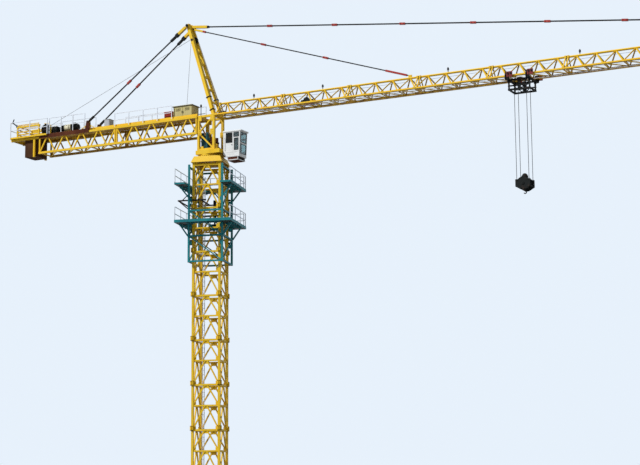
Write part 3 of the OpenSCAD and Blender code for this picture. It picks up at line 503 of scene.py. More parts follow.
class Piece:
    """One piece of the crane, shaped in a bmesh and then dressed and set on its body."""

    def __init__(self, name: str, body: Body, finish: Finish, slot: Slot | None = None) -> None:
        """Starts an empty piece.

        Args:
            name: The piece's name.
            body: The body that it rides on.
            finish: A slot or a finish.
            slot: The record's slot, where the finish isn't one itself.
        """
        self.name = name
        self.body = body
        self.finish = finish
        self.slot = slot or (finish if isinstance(finish, Slot) else None)
        self.bm = bmesh.new()

    def box(self, low: tuple, high: tuple, turn: Matrix | None = None) -> list[bmesh.types.BMVert]:
        """Adds a box between two corners.

        Args:
            low: The low corner.
            high: The high corner.
            turn: A matrix to apply after it.

        Returns:
            The new vertices.
        """
        low, high = Vector(low), Vector(high)
        matrix = Matrix.Translation((low + high) / 2) @ Matrix.Diagonal((*(high - low), 1.0))
        if turn is not None:
            matrix = turn @ matrix
        return bmesh.ops.create_cube(self.bm, size=1.0, matrix=matrix)["verts"]

    def rod(self, start: tuple, end: tuple, width: float, sides: int = 4, tip: float | None = None) -> None:
        """Adds a straight many-sided bar, width across its flats.

        Args:
            start: One end's centre.
            end: The other end's centre.
            width: The width across flats.
            sides: The number of sides.
            tip: Another width at the end, for a taper.
        """
        start, end = Vector(start), Vector(end)
        line = end - start
        along = line.to_track_quat("Z", "Y").to_matrix().to_4x4() @ Matrix.Rotation(math.pi / sides, 4, "Z")
        share = 2 * math.cos(math.pi / sides)
        bmesh.ops.create_cone(self.bm, cap_ends=True, segments=sides, radius1=width / share,
                              radius2=(width if tip is None else tip) / share, depth=line.length,
                              matrix=Matrix.Translation((start + end) / 2) @ along)

    def across(self, x: float, z: float, low: float, high: float, width: float, sides: int = 4) -> None:
        """Adds a bar across the crane.

        Args:
            x: Its place along the crane.
            z: Its height.
            low: The y where it starts.
            high: The y where it ends.
            width: The width across flats.
            sides: The number of sides.
        """
        self.rod((x, low, z), (x, high, z), width, sides)

    def stack(self, x: float, y: float, z: float, drums: tuple, sides: int = 4) -> None:
        """Adds upright bars or drums, one over the other.

        Args:
            x: Their place along the crane.
            y: Their place across the crane.
            z: The height that theirs are counted from.
            drums: For each its low end, its high end, its width and, for a taper, its width at the top.
            sides: The number of sides.
        """
        for low, high, *widths in drums:
            self.rod((x, y, z + low), (x, y, z + high), widths[0], sides, widths[-1])

    def bolt(self, at: tuple, along: tuple, size: float) -> None:
        """Adds a hexagon head with its washer, standing on a face.

        Args:
            at: The point on the face.
            along: The face's outward direction.
            size: The head's width across flats.
        """
        at, along = Vector(at), Vector(along).normalized()
        self.rod(at - along * 0.001, at + along * size * 0.14, size * 1.35, 8)
        self.rod(at, at + along * size * 0.72, size, 6)

    def ring(self, centre: tuple, axis: tuple, radius: float, width: float, steps: int = 32,
             sides: int = 6) -> None:
        """Adds a ring of round section, spun round an axis.

        Args:
            centre: The ring's centre.
            axis: The ring's axis.
            radius: The radius of the section's centre.
            width: The section's diameter.
            steps: The number of steps round.
            sides: The sides of the section.
        """
        axis = Vector(axis).normalized()
        side = axis.orthogonal().normalized()
        matrix = Matrix.Translation(Vector(centre) + side * radius) @ axis.cross(side).to_track_quat(
            "Z", "Y").to_matrix().to_4x4()
        made = bmesh.ops.create_circle(self.bm, segments=sides, radius=width / 2, matrix=matrix)["verts"]
        edges = list({e for v in made for e in v.link_edges})
        bmesh.ops.spin(self.bm, geom=edges, cent=centre, axis=axis, angle=2 * math.pi, steps=steps,
                       use_merge=True)

    def path(self, points: list, width: float, sides: int = 8) -> None:
        """Adds a round tube along points, mitred at each bend.

        Args:
            points: The centre line.
            width: The tube's diameter.
            sides: The number of sides.
        """
        line = [Vector(p) for p in points]
        ahead = (line[1] - line[0]).normalized()
        matrix = Matrix.Translation(line[0]) @ ahead.to_track_quat("Z", "Y").to_matrix().to_4x4()
        made = bmesh.ops.create_circle(self.bm, segments=sides, radius=width / 2, cap_ends=True,
                                       matrix=matrix)["verts"]
        face = made[0].link_faces[0]
        for number, point in enumerate(line[1:], 1):
            into = (point - line[number - 1]).normalized()
            out = into if point is line[-1] else (line[number + 1] - point).normalized()
            plane = (into + out).normalized()
            face = bmesh.ops.extrude_discrete_faces(self.bm, faces=[face])["faces"][0]
            for vert in face.verts:
                vert.co += into * ((point - vert.co).dot(plane) / into.dot(plane))

    def turned(self, matrix: Matrix) -> "Piece":
        """Turns all that the piece holds so far.

        Args:
            matrix: The matrix to apply.

        Returns:
            The piece itself.
        """
        bmesh.ops.transform(self.bm, matrix=matrix, verts=self.bm.verts)
        return self

    def made(self, smooth: bool = False, bevel: float = 0.0) -> bpy.types.Object:
        """Makes the object and dresses it, without a body.

        Args:
            smooth: Whether round stretches are shaded smooth.
            bevel: The width of a bevel modifier, if any.

        Returns:
            The object.
        """
        bmesh.ops.recalc_face_normals(self.bm, faces=self.bm.faces)
        mesh = bpy.data.meshes.new(self.name)
        self.bm.to_mesh(mesh)
        self.bm.free()
        mesh.materials.append(FINISH.of(self.finish))
        made = bpy.data.objects.new(self.name, mesh)
        bpy.context.scene.collection.objects.link(made)
        if bevel:
            edge = made.modifiers.new("soft_edge", "BEVEL")
            edge.width = bevel
            edge.segments = 2
            edge.limit_method = "ANGLE"
        if smooth:
            mesh.shade_smooth()
            mesh.set_sharp_from_angle(angle=math.radians(SMOOTH_BELOW))
        LOG.info("%s on %s: %d faces", self.name, self.body.value, len(mesh.polygons))
        return made

    def done(self, smooth: bool = False, bevel: float = 0.0) -> bpy.types.Object:
        """Makes the object, dresses it and sets it on its body.

        Args:
            smooth: Whether round stretches are shaded smooth.
            bevel: The width of a bevel modifier, if any.

        Returns:
            The finished object.
        """
        made = self.made(smooth, bevel)
        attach(made, self.body.value)
        return made

    def stretched(self) -> bpy.types.Object:
        """Makes a straight rope in world place, set on no body.

        Returns:
            The finished object.
        """
        made = self.made(smooth=True)
        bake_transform(made)
        return made


@dataclass
class CadFinishes:
    """Dresses the carried-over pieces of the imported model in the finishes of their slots."""

    lattices: tuple[tuple[str, Paint], ...] = (("jib_", LATTICE_PAINT), ("counter_jib_", LATTICE_PAINT),
                                               ("mast_", MAST_PAINT), ("slewing_tower", MAST_PAINT))

    def dress(self) -> None:
        """Assigns each node's finish."""
        for row in frame["record"]["subparts"]:
            node = frame["nodes"][row["node"]]
            node.data.materials.clear()
            slot = Slot(row["material_slot"])
            if slot is Slot.YELLOW:
                slot = next((paint for start, paint in self.lattices if row["node"].startswith(start)), slot)
            node.data.materials.append(FINISH.of(slot))
        LOG.info("dressed %d nodes", len(frame["nodes"]))


@dataclass
class Studio:
    """Camera at the photograph's place, pale floor and background, plain soft light."""

    focal: float = 90.0
    sensor: float = 36.0
    eye: tuple = (27.708, -46.431, 2.468)
    yaw: float = -26.858
    pitch: float = 9.436
    roll: float = -0.442
    sees: float = 500.0
    floor_half: float = 160.0
    floor_z: float = -0.002
    floor_tones: tuple = ((0.37, 0.38, 0.39), (0.42, 0.43, 0.44))
    lamps: tuple = (("key", 4.0, 5.0, (45.0, 0.0, -40.0)), ("fill", 0.12, 60.0, (60.0, 0.0, 78.0)))
    ambient: tuple = ((0.84, 0.92, 1.0), 0.17)
    backdrop: tuple = ((0.80, 0.88, 0.97), 1.0)

    def camera(self) -> None:
        """Makes the camera and sets it as the scene's."""
        data = bpy.data.cameras.new("view")
        data.lens = self.focal
        data.sensor_width = self.sensor
        data.clip_end = self.sees
        made = bpy.data.objects.new("view", data)
        bpy.context.scene.collection.objects.link(made)
        yaw, pitch, roll = (math.radians(a) for a in (self.yaw, self.pitch, self.roll))
        ahead = Vector((math.sin(yaw) * math.cos(pitch), math.cos(yaw) * math.cos(pitch), math.sin(pitch)))
        right = Vector((math.cos(yaw), -math.sin(yaw), 0.0))
        above = right.cross(ahead)
        right, above = (right * math.cos(roll) + above * math.sin(roll),
                        above * math.cos(roll) - right * math.sin(roll))
        turn = Matrix((right, above, -ahead)).transposed().to_4x4()
        made.matrix_world = Matrix.Translation(self.eye) @ turn
        bpy.context.scene.camera = made

    def floor(self) -> None:
        """Makes the plain pale floor."""
        shape = bmesh.new()
        bmesh.ops.create_grid(shape, x_segments=1, y_segments=1, size=self.floor_half)
        mesh = bpy.data.meshes.new("floor")
        shape.to_mesh(mesh)
        shape.free()
        graph = Surface("floor_pale")
        mesh.materials.append(graph.shader(graph.mix(graph.noise(0.6), *self.floor_tones), 0.9))
        made = bpy.data.objects.new("floor", mesh)
        made.location.z = self.floor_z
        bpy.context.scene.collection.objects.link(made)

    def light(self) -> None:
        """Makes the key light, the fill and the pale world."""
        for name, energy, angle, turn in self.lamps:
            data = bpy.data.lights.new(name, "SUN")
            data.energy = energy
            data.angle = math.radians(angle)
            made = bpy.data.objects.new(name, data)
            made.rotation_euler = [math.radians(a) for a in turn]
            bpy.context.scene.collection.objects.link(made)
        world = bpy.data.worlds.new("pale")
        bpy.context.scene.world = world
        world.use_nodes = True
        graph = NodeGraph(world.node_tree)
        path = graph.add("LightPath").outputs
        seen = graph.larger(path["Is Camera Ray"],
                            graph.larger(path["Is Glossy Ray"], path["Is Transmission Ray"]))
        glow = [graph.add("Background", {"Color": rgba(colour), "Strength": strength}).outputs[0]
                for colour, strength in (self.ambient, self.backdrop)]
        both = graph.add("MixShader", {0: seen, 1: glow[0], 2: glow[1]})
        graph.add("OutputWorld", {"Surface": both.outputs[0]})
        bpy.context.scene.view_settings.view_transform = "Standard"

    def build(self) -> None:
        """Builds the studio."""
        self.camera()
        self.floor()
        self.light()


@dataclass
class Mast:
    """Sleeves, gussets and stiffeners of the lattice mast, in its own turned frame."""

    turn: Matrix
    half: float = 0.46
    chord: float = 0.08
    collar: float = 0.11
    base: float = 0.30
    section: float = 1.50
    sections: int = 9
    bolt: float = 0.026
    sleeve_half: float = 0.055
    plate_half: float = 0.11
    plate_h: float = 0.115
    low_plate: float = 0.06
    corner: float = 0.12
    girder: float = 0.22
    stiffener_x: tuple = (0.75, 1.10, 1.45, 1.72)

    def sleeves(self) -> None:
        """Makes the bolt sleeves on the chord collars at each section joint."""
        sleeves = Piece("mast_joint_sleeves", Body.MAST, Slot.YELLOW)
        bolts = Piece("mast_joint_bolts", Body.MAST, Slot.DARK)
        away = self.half + self.collar / 2 + self.bolt / 2
        low, high = -self.sleeve_half, self.sleeve_half
        for level, sx, sy, shift in product(range(1, self.sections), SIDES, SIDES, (-self.bolt, self.bolt)):
            z = self.base + level * self.section
            for x, y in ((sx * away, sy * self.half + shift), (sx * self.half + shift, sy * away)):
                sleeves.stack(x, y, z, ((low, high, self.bolt + 0.004),), 8)
                bolts.stack(x, y, z, ((low - 0.023, high + 0.025, self.bolt),), 6)
        for made in (sleeves, bolts):
            made.turned(self.turn).done()

    def gussets(self) -> None:
        """Makes the plates where the bracing meets the horizontals and the chords."""
        piece = Piece("mast_gussets", Body.MAST, Slot.YELLOW)
        wide = self.plate_half
        for face, number in product(range(4), range(2 * self.sections)):
            facing = quarter(face)
            z = self.base + 0.5 * (number + 1) * self.section - number % 2 * self.low_plate
            piece.box((-wide, -self.half - 0.005, z - self.plate_h), (wide, -self.half + 0.005, z), facing)
            for side in SIDES:
                edge = span(side, self.half - self.corner, self.half - self.chord / 2)
                piece.box((edge[0], -self.half - 0.004, z), (edge[1], -self.half + 0.004, z + self.corner),
                          facing)
        piece.turned(self.turn).done()

    def stiffeners(self) -> None:
        """Makes the upright stiffening plates of the base cross."""
        piece = Piece("base_stiffeners", Body.MAST, Slot.YELLOW)
        for arm, x, side in product(range(4), self.stiffener_x, SIDES):
            facing = self.turn @ Matrix.Rotation(math.radians(45 + 90 * arm), 4, "Z")
            y = span(side, self.girder / 2 - 0.061, self.girder / 2 - 0.002)
            piece.box((x - 0.007, y[0], 0.031), (x + 0.007, y[1], self.base - 0.021), facing)
        piece.done()

    def build(self) -> None:
        """Builds the mast's details."""
        self.sleeves()
        self.gussets()
        self.stiffeners()


@dataclass
class Cage:
    """Decks, toe boards, joists, rollers, outrigger and pump of the climbing cage, in the mast's frame."""

    turn: Matrix
    half: float = 0.588
    post: float = 0.064
    clear: float = 0.6203
    edge: float = 0.99
    lower_deck: float = 11.75
    upper_deck: float = 13.06
    joist_x: tuple = (-0.42, -0.14, 0.14, 0.42)
    roller: tuple = (0.537, 0.46, 0.065)
    roller_z: tuple = (11.13, 11.71, 12.63)
    outrigger_z: float = 12.51
    outrigger_reach: float = 0.36
    pump: tuple = (0.32, 0.80)

    def sides(self) -> Iterator[tuple[float, Matrix]]:
        """Gives the level and the turn of each side of both platforms; the upper one has no front."""
        for z, first in ((self.lower_deck, 0), (self.upper_deck, 1)):
            for face in range(first, 4):
                yield z, quarter(face)

    def treads(self) -> None:
        """Makes the chequer plates on both platforms."""
        piece = Piece("cage_treads", Body.MAST, TEAL_TREAD, Slot.TEAL)
        wing, inner, outer = -self.edge + 0.02, self.clear + 0.02, self.edge - 0.035
        for low in (self.lower_deck, self.upper_deck):
            high = low + 0.005
            for side in SIDES:
                x = span(side, inner, outer)
                piece.box((x[0], wing, low), (x[1], outer, high))
            piece.box((-inner, inner, low), (inner, outer, high))
            if low == self.lower_deck:
                piece.box((-inner, wing, low), (inner, -inner, high))
        piece.turned(self.turn).done()

    def boards(self) -> None:
        """Makes the toe boards round both platforms."""
        piece = Piece("cage_toe_boards", Body.MAST, Slot.TEAL)
        end = self.edge - 0.004
        for z, facing in self.sides():
            piece.box((-end, -self.edge + 0.001, z - 0.062), (end, -self.edge + 0.007, z + 0.035), facing)
        piece.turned(self.turn).done()

    def joists(self) -> None:
        """Makes the ribs below both platforms."""
        piece = Piece("cage_joists", Body.MAST, Slot.TEAL)
        for deck, facing in self.sides():
            top = deck - 0.059
            for x in self.joist_x:
                piece.box((x - 0.012, -self.edge + 0.02, top - 0.046), (x + 0.012, -self.clear - 0.03, top),
                          facing)
            piece.box((-self.clear, -self.edge + 0.16, top - 0.031), (self.clear, -self.edge + 0.19, top),
                      facing)
        piece.turned(self.turn).done()

    def rollers(self) -> None:
        """Makes the guide rollers that run on the mast chords, with their forks."""
        wheels = Piece("cage_rollers", Body.MAST, Slot.DARK)
        for z, sx, sy in product(self.roller_z, SIDES, SIDES):
            x, y = sx * self.roller[0], sy * self.roller[1]
            wheels.across(x, z, y - 0.022, y + 0.022, self.roller[2], 16)
            wheels.across(x, z, y - 0.032, y + 0.032, 0.022, 8)
            near = x - (0.01 if sx > 0 else 0.045)
            for low in (y - 0.036, y + 0.028):
                wheels.box((near, low, z - 0.02), (near + 0.055, low + 0.008, z + 0.02))
        wheels.turned(self.turn).done(smooth=True)

    def outrigger(self) -> None:
        """Makes the black bracket that stands out to the left of the cage."""
        piece = Piece("cage_outrigger", Body.MAST, Slot.DARK)
        tip = -self.half - self.post / 2 - self.outrigger_reach
        z = self.outrigger_z
        for y in (-self.half + 0.046, self.half - 0.046):
            piece.rod((tip, y, z), (0.0, y, z), 0.044)
            piece.rod((tip, y, z), (-self.half, y, z - 0.34), 0.032)
            piece.rod((tip + 0.13, y, z), (-self.half, y, z + 0.24), 0.024)
        for x in (tip, -self.half + 0.40):
            piece.across(x, z, -self.half + 0.02, self.half - 0.02, 0.038)
        piece.turned(self.turn).done()

    def hydraulics(self) -> None:
        """Makes the hydraulic unit behind the cage with its motor and hoses."""
        tank = Piece("cage_pump_tank", Body.MAST, Slot.MOTOR)
        x, y = self.pump
        z = self.lower_deck + 0.005
        tank.box((x - 0.10, y - 0.10, z), (x + 0.24, y + 0.10, z + 0.20))
        tank.box((x - 0.11, y - 0.11, z + 0.195), (x + 0.25, y + 0.11, z + 0.21))
        tank.stack(x, y, z, ((0.21, 0.40, 0.13), (0.40, 0.43, 0.10)), 20)
        for _, dx, dy in rim(12, 0.068):
            tank.stack(x + dx, y + dy, z, ((0.23, 0.38, 0.008),))
        tank.turned(self.turn).done(smooth=True)
        hoses = Piece("cage_hoses", Body.MAST, BLACK, Slot.DARK)
        for y in (0.78, 0.81):
            hoses.path([(0.48, y, z + 0.20), (0.47, y - 0.01, z + 0.30), (0.36, y - 0.08, z + 0.36),
                        (0.18, y - 0.10, z + 0.30), (0.05, y - 0.09, z + 0.34), (0.0, y - 0.08, z + 0.42),
                        (-0.015, y - 0.08, z + 0.50)], 0.014)
        hoses.turned(self.turn).done(smooth=True)

    def build(self) -> None:
        """Builds the cage's details."""
        self.treads()
        self.boards()
        self.joists()
        self.rollers()
        self.outrigger()
        self.hydraulics()


@dataclass
class Tower:
    """Gussets, slewing motors with their fins, gearboxes and brakes, and the slewing ring's bolts."""

    deck_top: float = 14.271
    half: float = 0.30
    face: float = 0.343
    sag: float = 14.911
    jib_z: float = 15.481
    motor_x: float = -0.12
    motor_y: float = 0.15
    motor_r: float = 0.078
    gearboxes: tuple = ((0.10, -0.10), (0.15, 0.14))
    brakes: tuple = ((-0.20, -0.19), (-0.02, -0.20))
    ring_z: float = 14.07
    ring_r: float = 0.43
    ring_bolts: int = 36

    def gussets(self) -> None:
        """Makes the corner plates of the slewing tower, with their bolts."""
        piece = Piece("tower_gussets", Body.UPPER, Slot.YELLOW)
        for way, corner in product(SIDES, SIDES):
            x, y = corner * self.half, way * self.face
            inward = -0.13 * corner
            low, high = sorted((x, x + inward))
            for z in (self.sag, self.jib_z - 0.06):
                piece.box((low, y - 0.004, z - 0.10), (high, y + 0.004, z + 0.10))
            for dz, share in product((-0.06, 0.0, 0.06), (0.25, 0.75)):
                piece.bolt((x + inward * share, y + way * 0.004, self.sag + dz), (0, way, 0), 0.016)
        piece.done()

    def motors(self) -> None:
        """Makes the fins, flange bolts, terminal boxes and cables of the slewing motors."""
        piece = Piece("slewing_motor_fins", Body.UPPER, Slot.MOTOR)
        boxes = Piece("slewing_motor_boxes", Body.UPPER, Slot.DARK)
        x, z = self.motor_x, self.deck_top
        for side in SIDES:
            y = side * self.motor_y
            for angle, dx, dy in rim(20, self.motor_r):
                piece.box((-0.012, -0.0025, z + 0.27), (0.012, 0.0025, z + 0.47),
                          Matrix.Translation((x + dx, y + dy, 0.0)) @ Matrix.Rotation(angle, 4, "Z"))
            for _, dx, dy in rim(8, 0.075):
                piece.bolt((x + dx, y + dy, z + 0.06), (0, 0, 1), 0.014)
            low = sorted((y - side * 0.070, y - side * 0.125))
            boxes.box((x - 0.04, low[0], z + 0.33), (x + 0.04, low[1], z + 0.43))
            boxes.path([(-0.12, y - side * 0.10, z + 0.33), (-0.10, y - side * 0.11, z + 0.20),
                        (0.02, y - side * 0.10, z + 0.06), (0.16, y - side * 0.04, z + 0.012)], 0.012)
        piece.done()
        boxes.done(bevel=0.003)

    def machines(self) -> None:
        """Makes the gearboxes, brake housings and junction boxes between the tower's posts."""
        rusty = Piece("slewing_gearboxes", Body.UPPER, DARK_BROWN_AND_SHADE, Slot.BALLAST)
        green = Piece("slewing_brakes", Body.UPPER, Slot.MOTOR)
        z = self.deck_top
        for x, y in self.gearboxes:
            rusty.stack(x, y, z, ((0.0, 0.07, 0.20), (0.07, 0.30, 0.15), (0.30, 0.34, 0.18),
                                  (0.34, 0.50, 0.12)), 20)
        for x, y in self.brakes:
            green.stack(x, y, z, ((0.0, 0.06, 0.16), (0.06, 0.60, 0.115), (0.60, 0.66, 0.09, 0.05),
                                  (0.34, 0.37, 0.15)), 20)
        rusty.done(smooth=True)
        green.done(smooth=True)
        box = Piece("slewing_junction_box", Body.UPPER, Slot.YELLOW)
        box.box((-0.26, -0.30, z + 0.002), (-0.12, -0.26, z + 0.16))
        box.box((0.18, -0.05, z + 0.002), (0.27, 0.06, z + 0.26))
        box.done(bevel=0.006)

    def ring(self) -> None:
        """Makes the bolts round the slewing ring."""
        piece = Piece("slewing_ring_bolts", Body.MAST, Slot.DARK)
        for _, x, y in rim(self.ring_bolts, self.ring_r):
            piece.bolt((x, y, self.ring_z), (x, y, 0.0), 0.018)
        piece.done()

    def build(self) -> None:
        """Builds the slewing part's details."""
        self.gussets()
        self.motors()
        self.machines()
        self.ring()


@dataclass
class Cab:
    """Window frames and films, trim, wiper, rails, floor frame, seat and consoles of the operator's cab."""

    back: float = 0.6423
    length: float = 0.66
    width: float = 0.50
    floor: float = 13.961
    height: float = 0.90
    gasket: float = 0.014
    knee: float = 0.414
    reach: float = 0.62
    rake: float = 0.02
    floor_drop: float = 0.104
    boards: int = 6
    side_windows: tuple = ((0.110, 0.500, 0.350, 0.840), (0.410, 0.690, 0.610, 0.840),
                           (0.430, 0.230, 0.590, 0.640))
    front_windows: tuple = ((0.500, 0.840), (0.110, 0.430))

    def front_x(self, up: float) -> float:
        """Gives the front face's x at a height above the floor."""
        bend = up / self.knee if up < self.knee else 1 + (up - self.knee) / (self.height - self.knee)
        return self.back + self.reach + self.rake * bend

    def at(self, x: float, y: float, z: float) -> tuple[float, float, float]:
        """Gives a point by its way from the cab's rear wall, its middle and its floor."""
        return self.back + x, y, self.floor + z

    def frame(self, piece: Piece, corners: list) -> None:
        """Adds a frame of bars round the corners of a window."""
        for start, end in zip(corners, corners[1:] + corners[:1]):
            piece.rod(start, end, self.gasket)

    def gaskets(self) -> None:
        """Makes the rubber frames round every window."""
        piece = Piece("cab_window_frames", Body.UPPER, BLACK, Slot.DARK)
        for side, (x0, z0, x1, z1) in product(SIDES, self.side_windows):
            y = side * (self.width / 2 + 0.001)
            self.frame(piece, [self.at(x, y, z) for x, z in ((x0, z0), (x1, z0), (x1, z1), (x0, z1))])
        edge = self.width / 2 - 0.05
        for low, high in self.front_windows:
            corners = ((low, -edge), (low, edge), (high, edge), (high, -edge))
            self.frame(piece, [(self.front_x(up) + 0.001, y, self.floor + up) for up, y in corners])
        piece.done(bevel=0.002)

    def trim(self) -> None:
        """Makes the roof lip, corner posts and sill ribs in cab white."""
        piece = Piece("cab_trim", Body.UPPER, Slot.WHITE)
        top, half = self.height, self.width / 2
        piece.box(self.at(-0.015, -half - 0.015, top - 0.028),
                  self.at(self.length + 0.045, half + 0.015, top + 0.018))
        piece.box(self.at(0.05, -half + 0.06, top + 0.015),
                  self.at(self.length - 0.12, half - 0.06, top + 0.035))
        for y in (-half, half):
            for x, up in ((0.11, 0.03), (0.01, 0.17)):
                piece.rod(self.at(x, y, up), (self.front_x(up) - 0.008, y, self.floor + up), 0.012)
            piece.rod(self.at(0.38, y, 0.02), self.at(0.38, y, top - 0.03), 0.010)
        piece.done(bevel=0.006)

    def fittings(self) -> None:
        """Makes the wiper, the door handle and the handrails."""
        piece = Piece("cab_fittings", Body.UPPER, BLACK, Slot.DARK)
        low, high = 0.52, 0.77
        pivot = Vector((self.front_x(low) + 0.012, 0.03, self.floor + low))
        tip = Vector((self.front_x(high) + 0.012, -0.09, self.floor + high))
        piece.rod(pivot, tip, 0.007)
        piece.rod(tip + Vector((-0.001, -0.07, -0.045)), tip + Vector((0.001, 0.06, 0.045)), 0.009)
        piece.rod(pivot - Vector((0.012, 0, 0)), pivot + Vector((0.006, 0, 0)), 0.024, 10)
        handle_y = -self.width / 2 - 0.012
        piece.rod(self.at(0.315, handle_y, 0.42), self.at(0.355, handle_y, 0.42), 0.012)
        piece.done(smooth=True)
        rails = Piece("cab_handrails", Body.UPPER, Slot.GALVANISED)
        for side in SIDES:
            wall, y = side * self.width / 2, side * (self.width / 2 + 0.035)
            rails.path([self.at(0.06, wall, 0.25), self.at(0.06, y, 0.26), self.at(0.06, y, 0.66),
                        self.at(0.06, wall, 0.67)], 0.012)
        rails.done(smooth=True)

    def under(self) -> None:
        """Makes the pale rim of the floor frame below the cab, with dark brown boards and side strips that
        paint the cab's shaded underside.
        """
        rim_bars = Piece("cab_floor_rim", Body.UPPER, Slot.WHITE)
        low, high = self.back + 0.155, self.back + self.length - 0.085
        z = self.floor - self.floor_drop
        half = self.width / 2 - 0.015
        for y in (-half, half):
            rim_bars.rod((low, y, z), (high, y, z), 0.026)
            for x in (low + 0.01, high - 0.01):
                rim_bars.stack(x, y, z, ((0.0, self.floor_drop, 0.018),))
        for x in (low, high):
            rim_bars.across(x, z, -half, half, 0.026)
        rim_bars.done(bevel=0.003)
        # Painted shade: the dark brown boards close the floor frame and their colour paints the cab's shaded
        # underside; the strips along the sides are painted shade only.
        boards = Piece("cab_floor_shade_boards", Body.UPPER, DARK_BROWN_AND_SHADE, Slot.BALLAST)
        step = (high - low - 0.03) / self.boards
        end = half - 0.012
        for number in range(self.boards):
            x = low + 0.015 + number * step
            boards.box((x, -end, z - 0.012), (x + step - 0.006, end, z - 0.004))
        for side in SIDES:
            y = span(side, end, half + 0.004)
            boards.box((low + 0.02, y[0], z + 0.012), (high - 0.02, y[1], self.floor - 0.004))
        boards.done(bevel=0.002)

    def inside(self) -> None:
        """Makes the operator's seat, the films on the rear windows and the two lever consoles."""
        seat = Piece("cab_seat", Body.UPPER, BLACK, Slot.DARK)
        floor = self.floor + 0.024
        x = self.back + 0.18
        seat.stack(x + 0.08, 0, floor, ((0.0, 0.14, 0.07),), 16)
        seat.box((x, -0.10, floor + 0.14), (x + 0.20, 0.10, floor + 0.19))
        back = Matrix.Translation((x, 0, floor + 0.18)) @ Matrix.Rotation(math.radians(-10), 4, "Y")
        seat.box((-0.035, -0.095, 0.0), (0.015, 0.095, 0.27), back)
        seat.box((-0.03, -0.06, 0.28), (0.01, 0.06, 0.36), back)
        for side in SIDES:
            seat.rod((x, side * 0.09, floor + 0.26), (x + 0.17, side * 0.105, floor + 0.26), 0.03)
        seat.done(bevel=0.012)
        films = Piece("cab_window_films", Body.UPPER, Slot.DARK)
        for side in SIDES:
            y = span(side, self.width / 2 - 0.012, self.width / 2 - 0.004)
            films.box(self.at(0.09, y[0], 0.47), self.at(0.365, y[1], 0.865))
        films.done()
        desk = Piece("cab_consoles", Body.UPPER, Slot.GREY)
        for side in SIDES:
            y = span(side, 0.13, 0.20)
            lever = side * 0.165
            desk.box((x + 0.04, y[0], floor), (x + 0.26, y[1], floor + 0.22))
            desk.rod((x + 0.18, lever, floor + 0.22), (x + 0.20, lever, floor + 0.32), 0.010, 8)
            desk.rod((x + 0.20, lever, floor + 0.315), (x + 0.205, lever, floor + 0.345), 0.028, 10)
        desk.done(bevel=0.006)

    def build(self) -> None:
        """Builds the cab's details."""
        self.gaskets()
        self.trim()
        self.fittings()
        self.under()
        self.inside()


@dataclass
class Cathead:
    """Pins, splice flanges and the lamp cable of the raked cathead, and the jib ties' couplings."""

    foot: tuple = (0.28, 0.0, 15.5193)
    apex: tuple = (-0.85, 0.0, 18.851)
    foot_half: float = 0.28
    head_half: float = 0.11
    leg: float = 0.116
    splice_shares: tuple = (0.046, 0.185)
    sheave_share: float = 0.84
    outer_lug: tuple = (21.2798, 0.0, 16.011)
    inner_pin: tuple = (-0.70, 0.0, 18.741)
    inner_lug: tuple = (7.5298, 0.0, 16.011)
    outer_arm: float = 0.70
    inner_arm: float = 0.43
    coupling_step: float = 2.50
    coupling_half: float = 0.10
    cable: tuple = ((-0.800, -0.02, 18.42), (-0.965, -0.02, 15.99))

    def at(self, share: float, side: int = 0) -> Vector:
        """Gives a point of the cathead at a share of the way up.

        Args:
            share: The share of the way from foot to apex.
            side: Which leg, or 0 for the middle plane.

        Returns:
            The point.
        """
        half = self.foot_half + (self.head_half - self.foot_half) * share
        return Vector(self.foot).lerp(Vector(self.apex), share) + Vector((0, side * half, 0))

    def splices(self) -> None:
        """Makes the dark flanges where the legs are bolted together and the foot clamps."""
        piece = Piece("cathead_splices", Body.UPPER, Slot.DARK)
        for share, side in product(self.splice_shares, SIDES):
            piece.rod(self.at(share, side), self.at(share + 0.009, side), self.leg + 0.040)
        piece.done(bevel=0.003)

    def pins(self) -> None:
        """Makes the pin heads and sheave caps at the head."""
        piece = Piece("cathead_pins", Body.UPPER, Slot.DARK)
        apex, inner = Vector(self.apex), Vector(self.inner_pin)
        for side in SIDES:
            out = Vector((0, side, 0))
            piece.rod(apex + out * 0.230, apex + out * 0.252, 0.105, 16)
            piece.rod(apex + out * 0.250, apex + out * 0.262, 0.045, 6)
            cap = self.at(self.sheave_share, side) + out * 0.06
            piece.rod(cap, cap + out * 0.014, 0.085, 16)
        piece.across(inner.x, inner.z, -0.042, 0.042, 0.055, 12)
        piece.done(smooth=True)

    def couplings(self) -> None:
        """Makes the red couplings on both jib ties."""
        piece = Piece("tie_couplings", Body.UPPER, Slot.RED)
        pins = Piece("tie_coupling_pins", Body.UPPER, Slot.DARK)
        ties = ((self.apex, self.outer_lug, self.outer_arm, 0.038, 8, pins),
                (self.inner_pin, self.inner_lug, self.inner_arm, 0.034, 2, piece))
        for start, lug, arm, width, count, knuckle in ties:
            line = (Vector(lug) - Vector(start)).normalized()
            end = Vector(start) + line * arm
            knuckle.rod(end - line * 0.04, end + line * 0.07, width + 0.034)
            for number in range(1, count + 1):
                middle = end + line * (number * self.coupling_step)
                half = line * self.coupling_half
                piece.rod(middle - half, middle + half, width + 0.032)
                for shift in (-0.055, 0.055):
                    at = middle + line * shift
                    pins.across(at.x, at.z, -width / 2 - 0.022, width / 2 + 0.022, 0.026, 8)
        foot = Vector(self.inner_lug)
        piece.rod(foot - line * 0.92, foot - line * 0.12, 0.062)
        piece.done(bevel=0.003)
        pins.done(smooth=True)

    def wiring(self) -> None:
        """Makes the lamp cable that drops from the head to the deck cabinet."""
        piece = Piece("lamp_cable", Body.UPPER, Slot.ROPE)
        piece.rod(*self.cable, 0.011, 6)
        piece.done()

    def build(self) -> None:
        """Builds the cathead's details."""
        self.splices()
        self.pins()
        self.couplings()
        self.wiring()


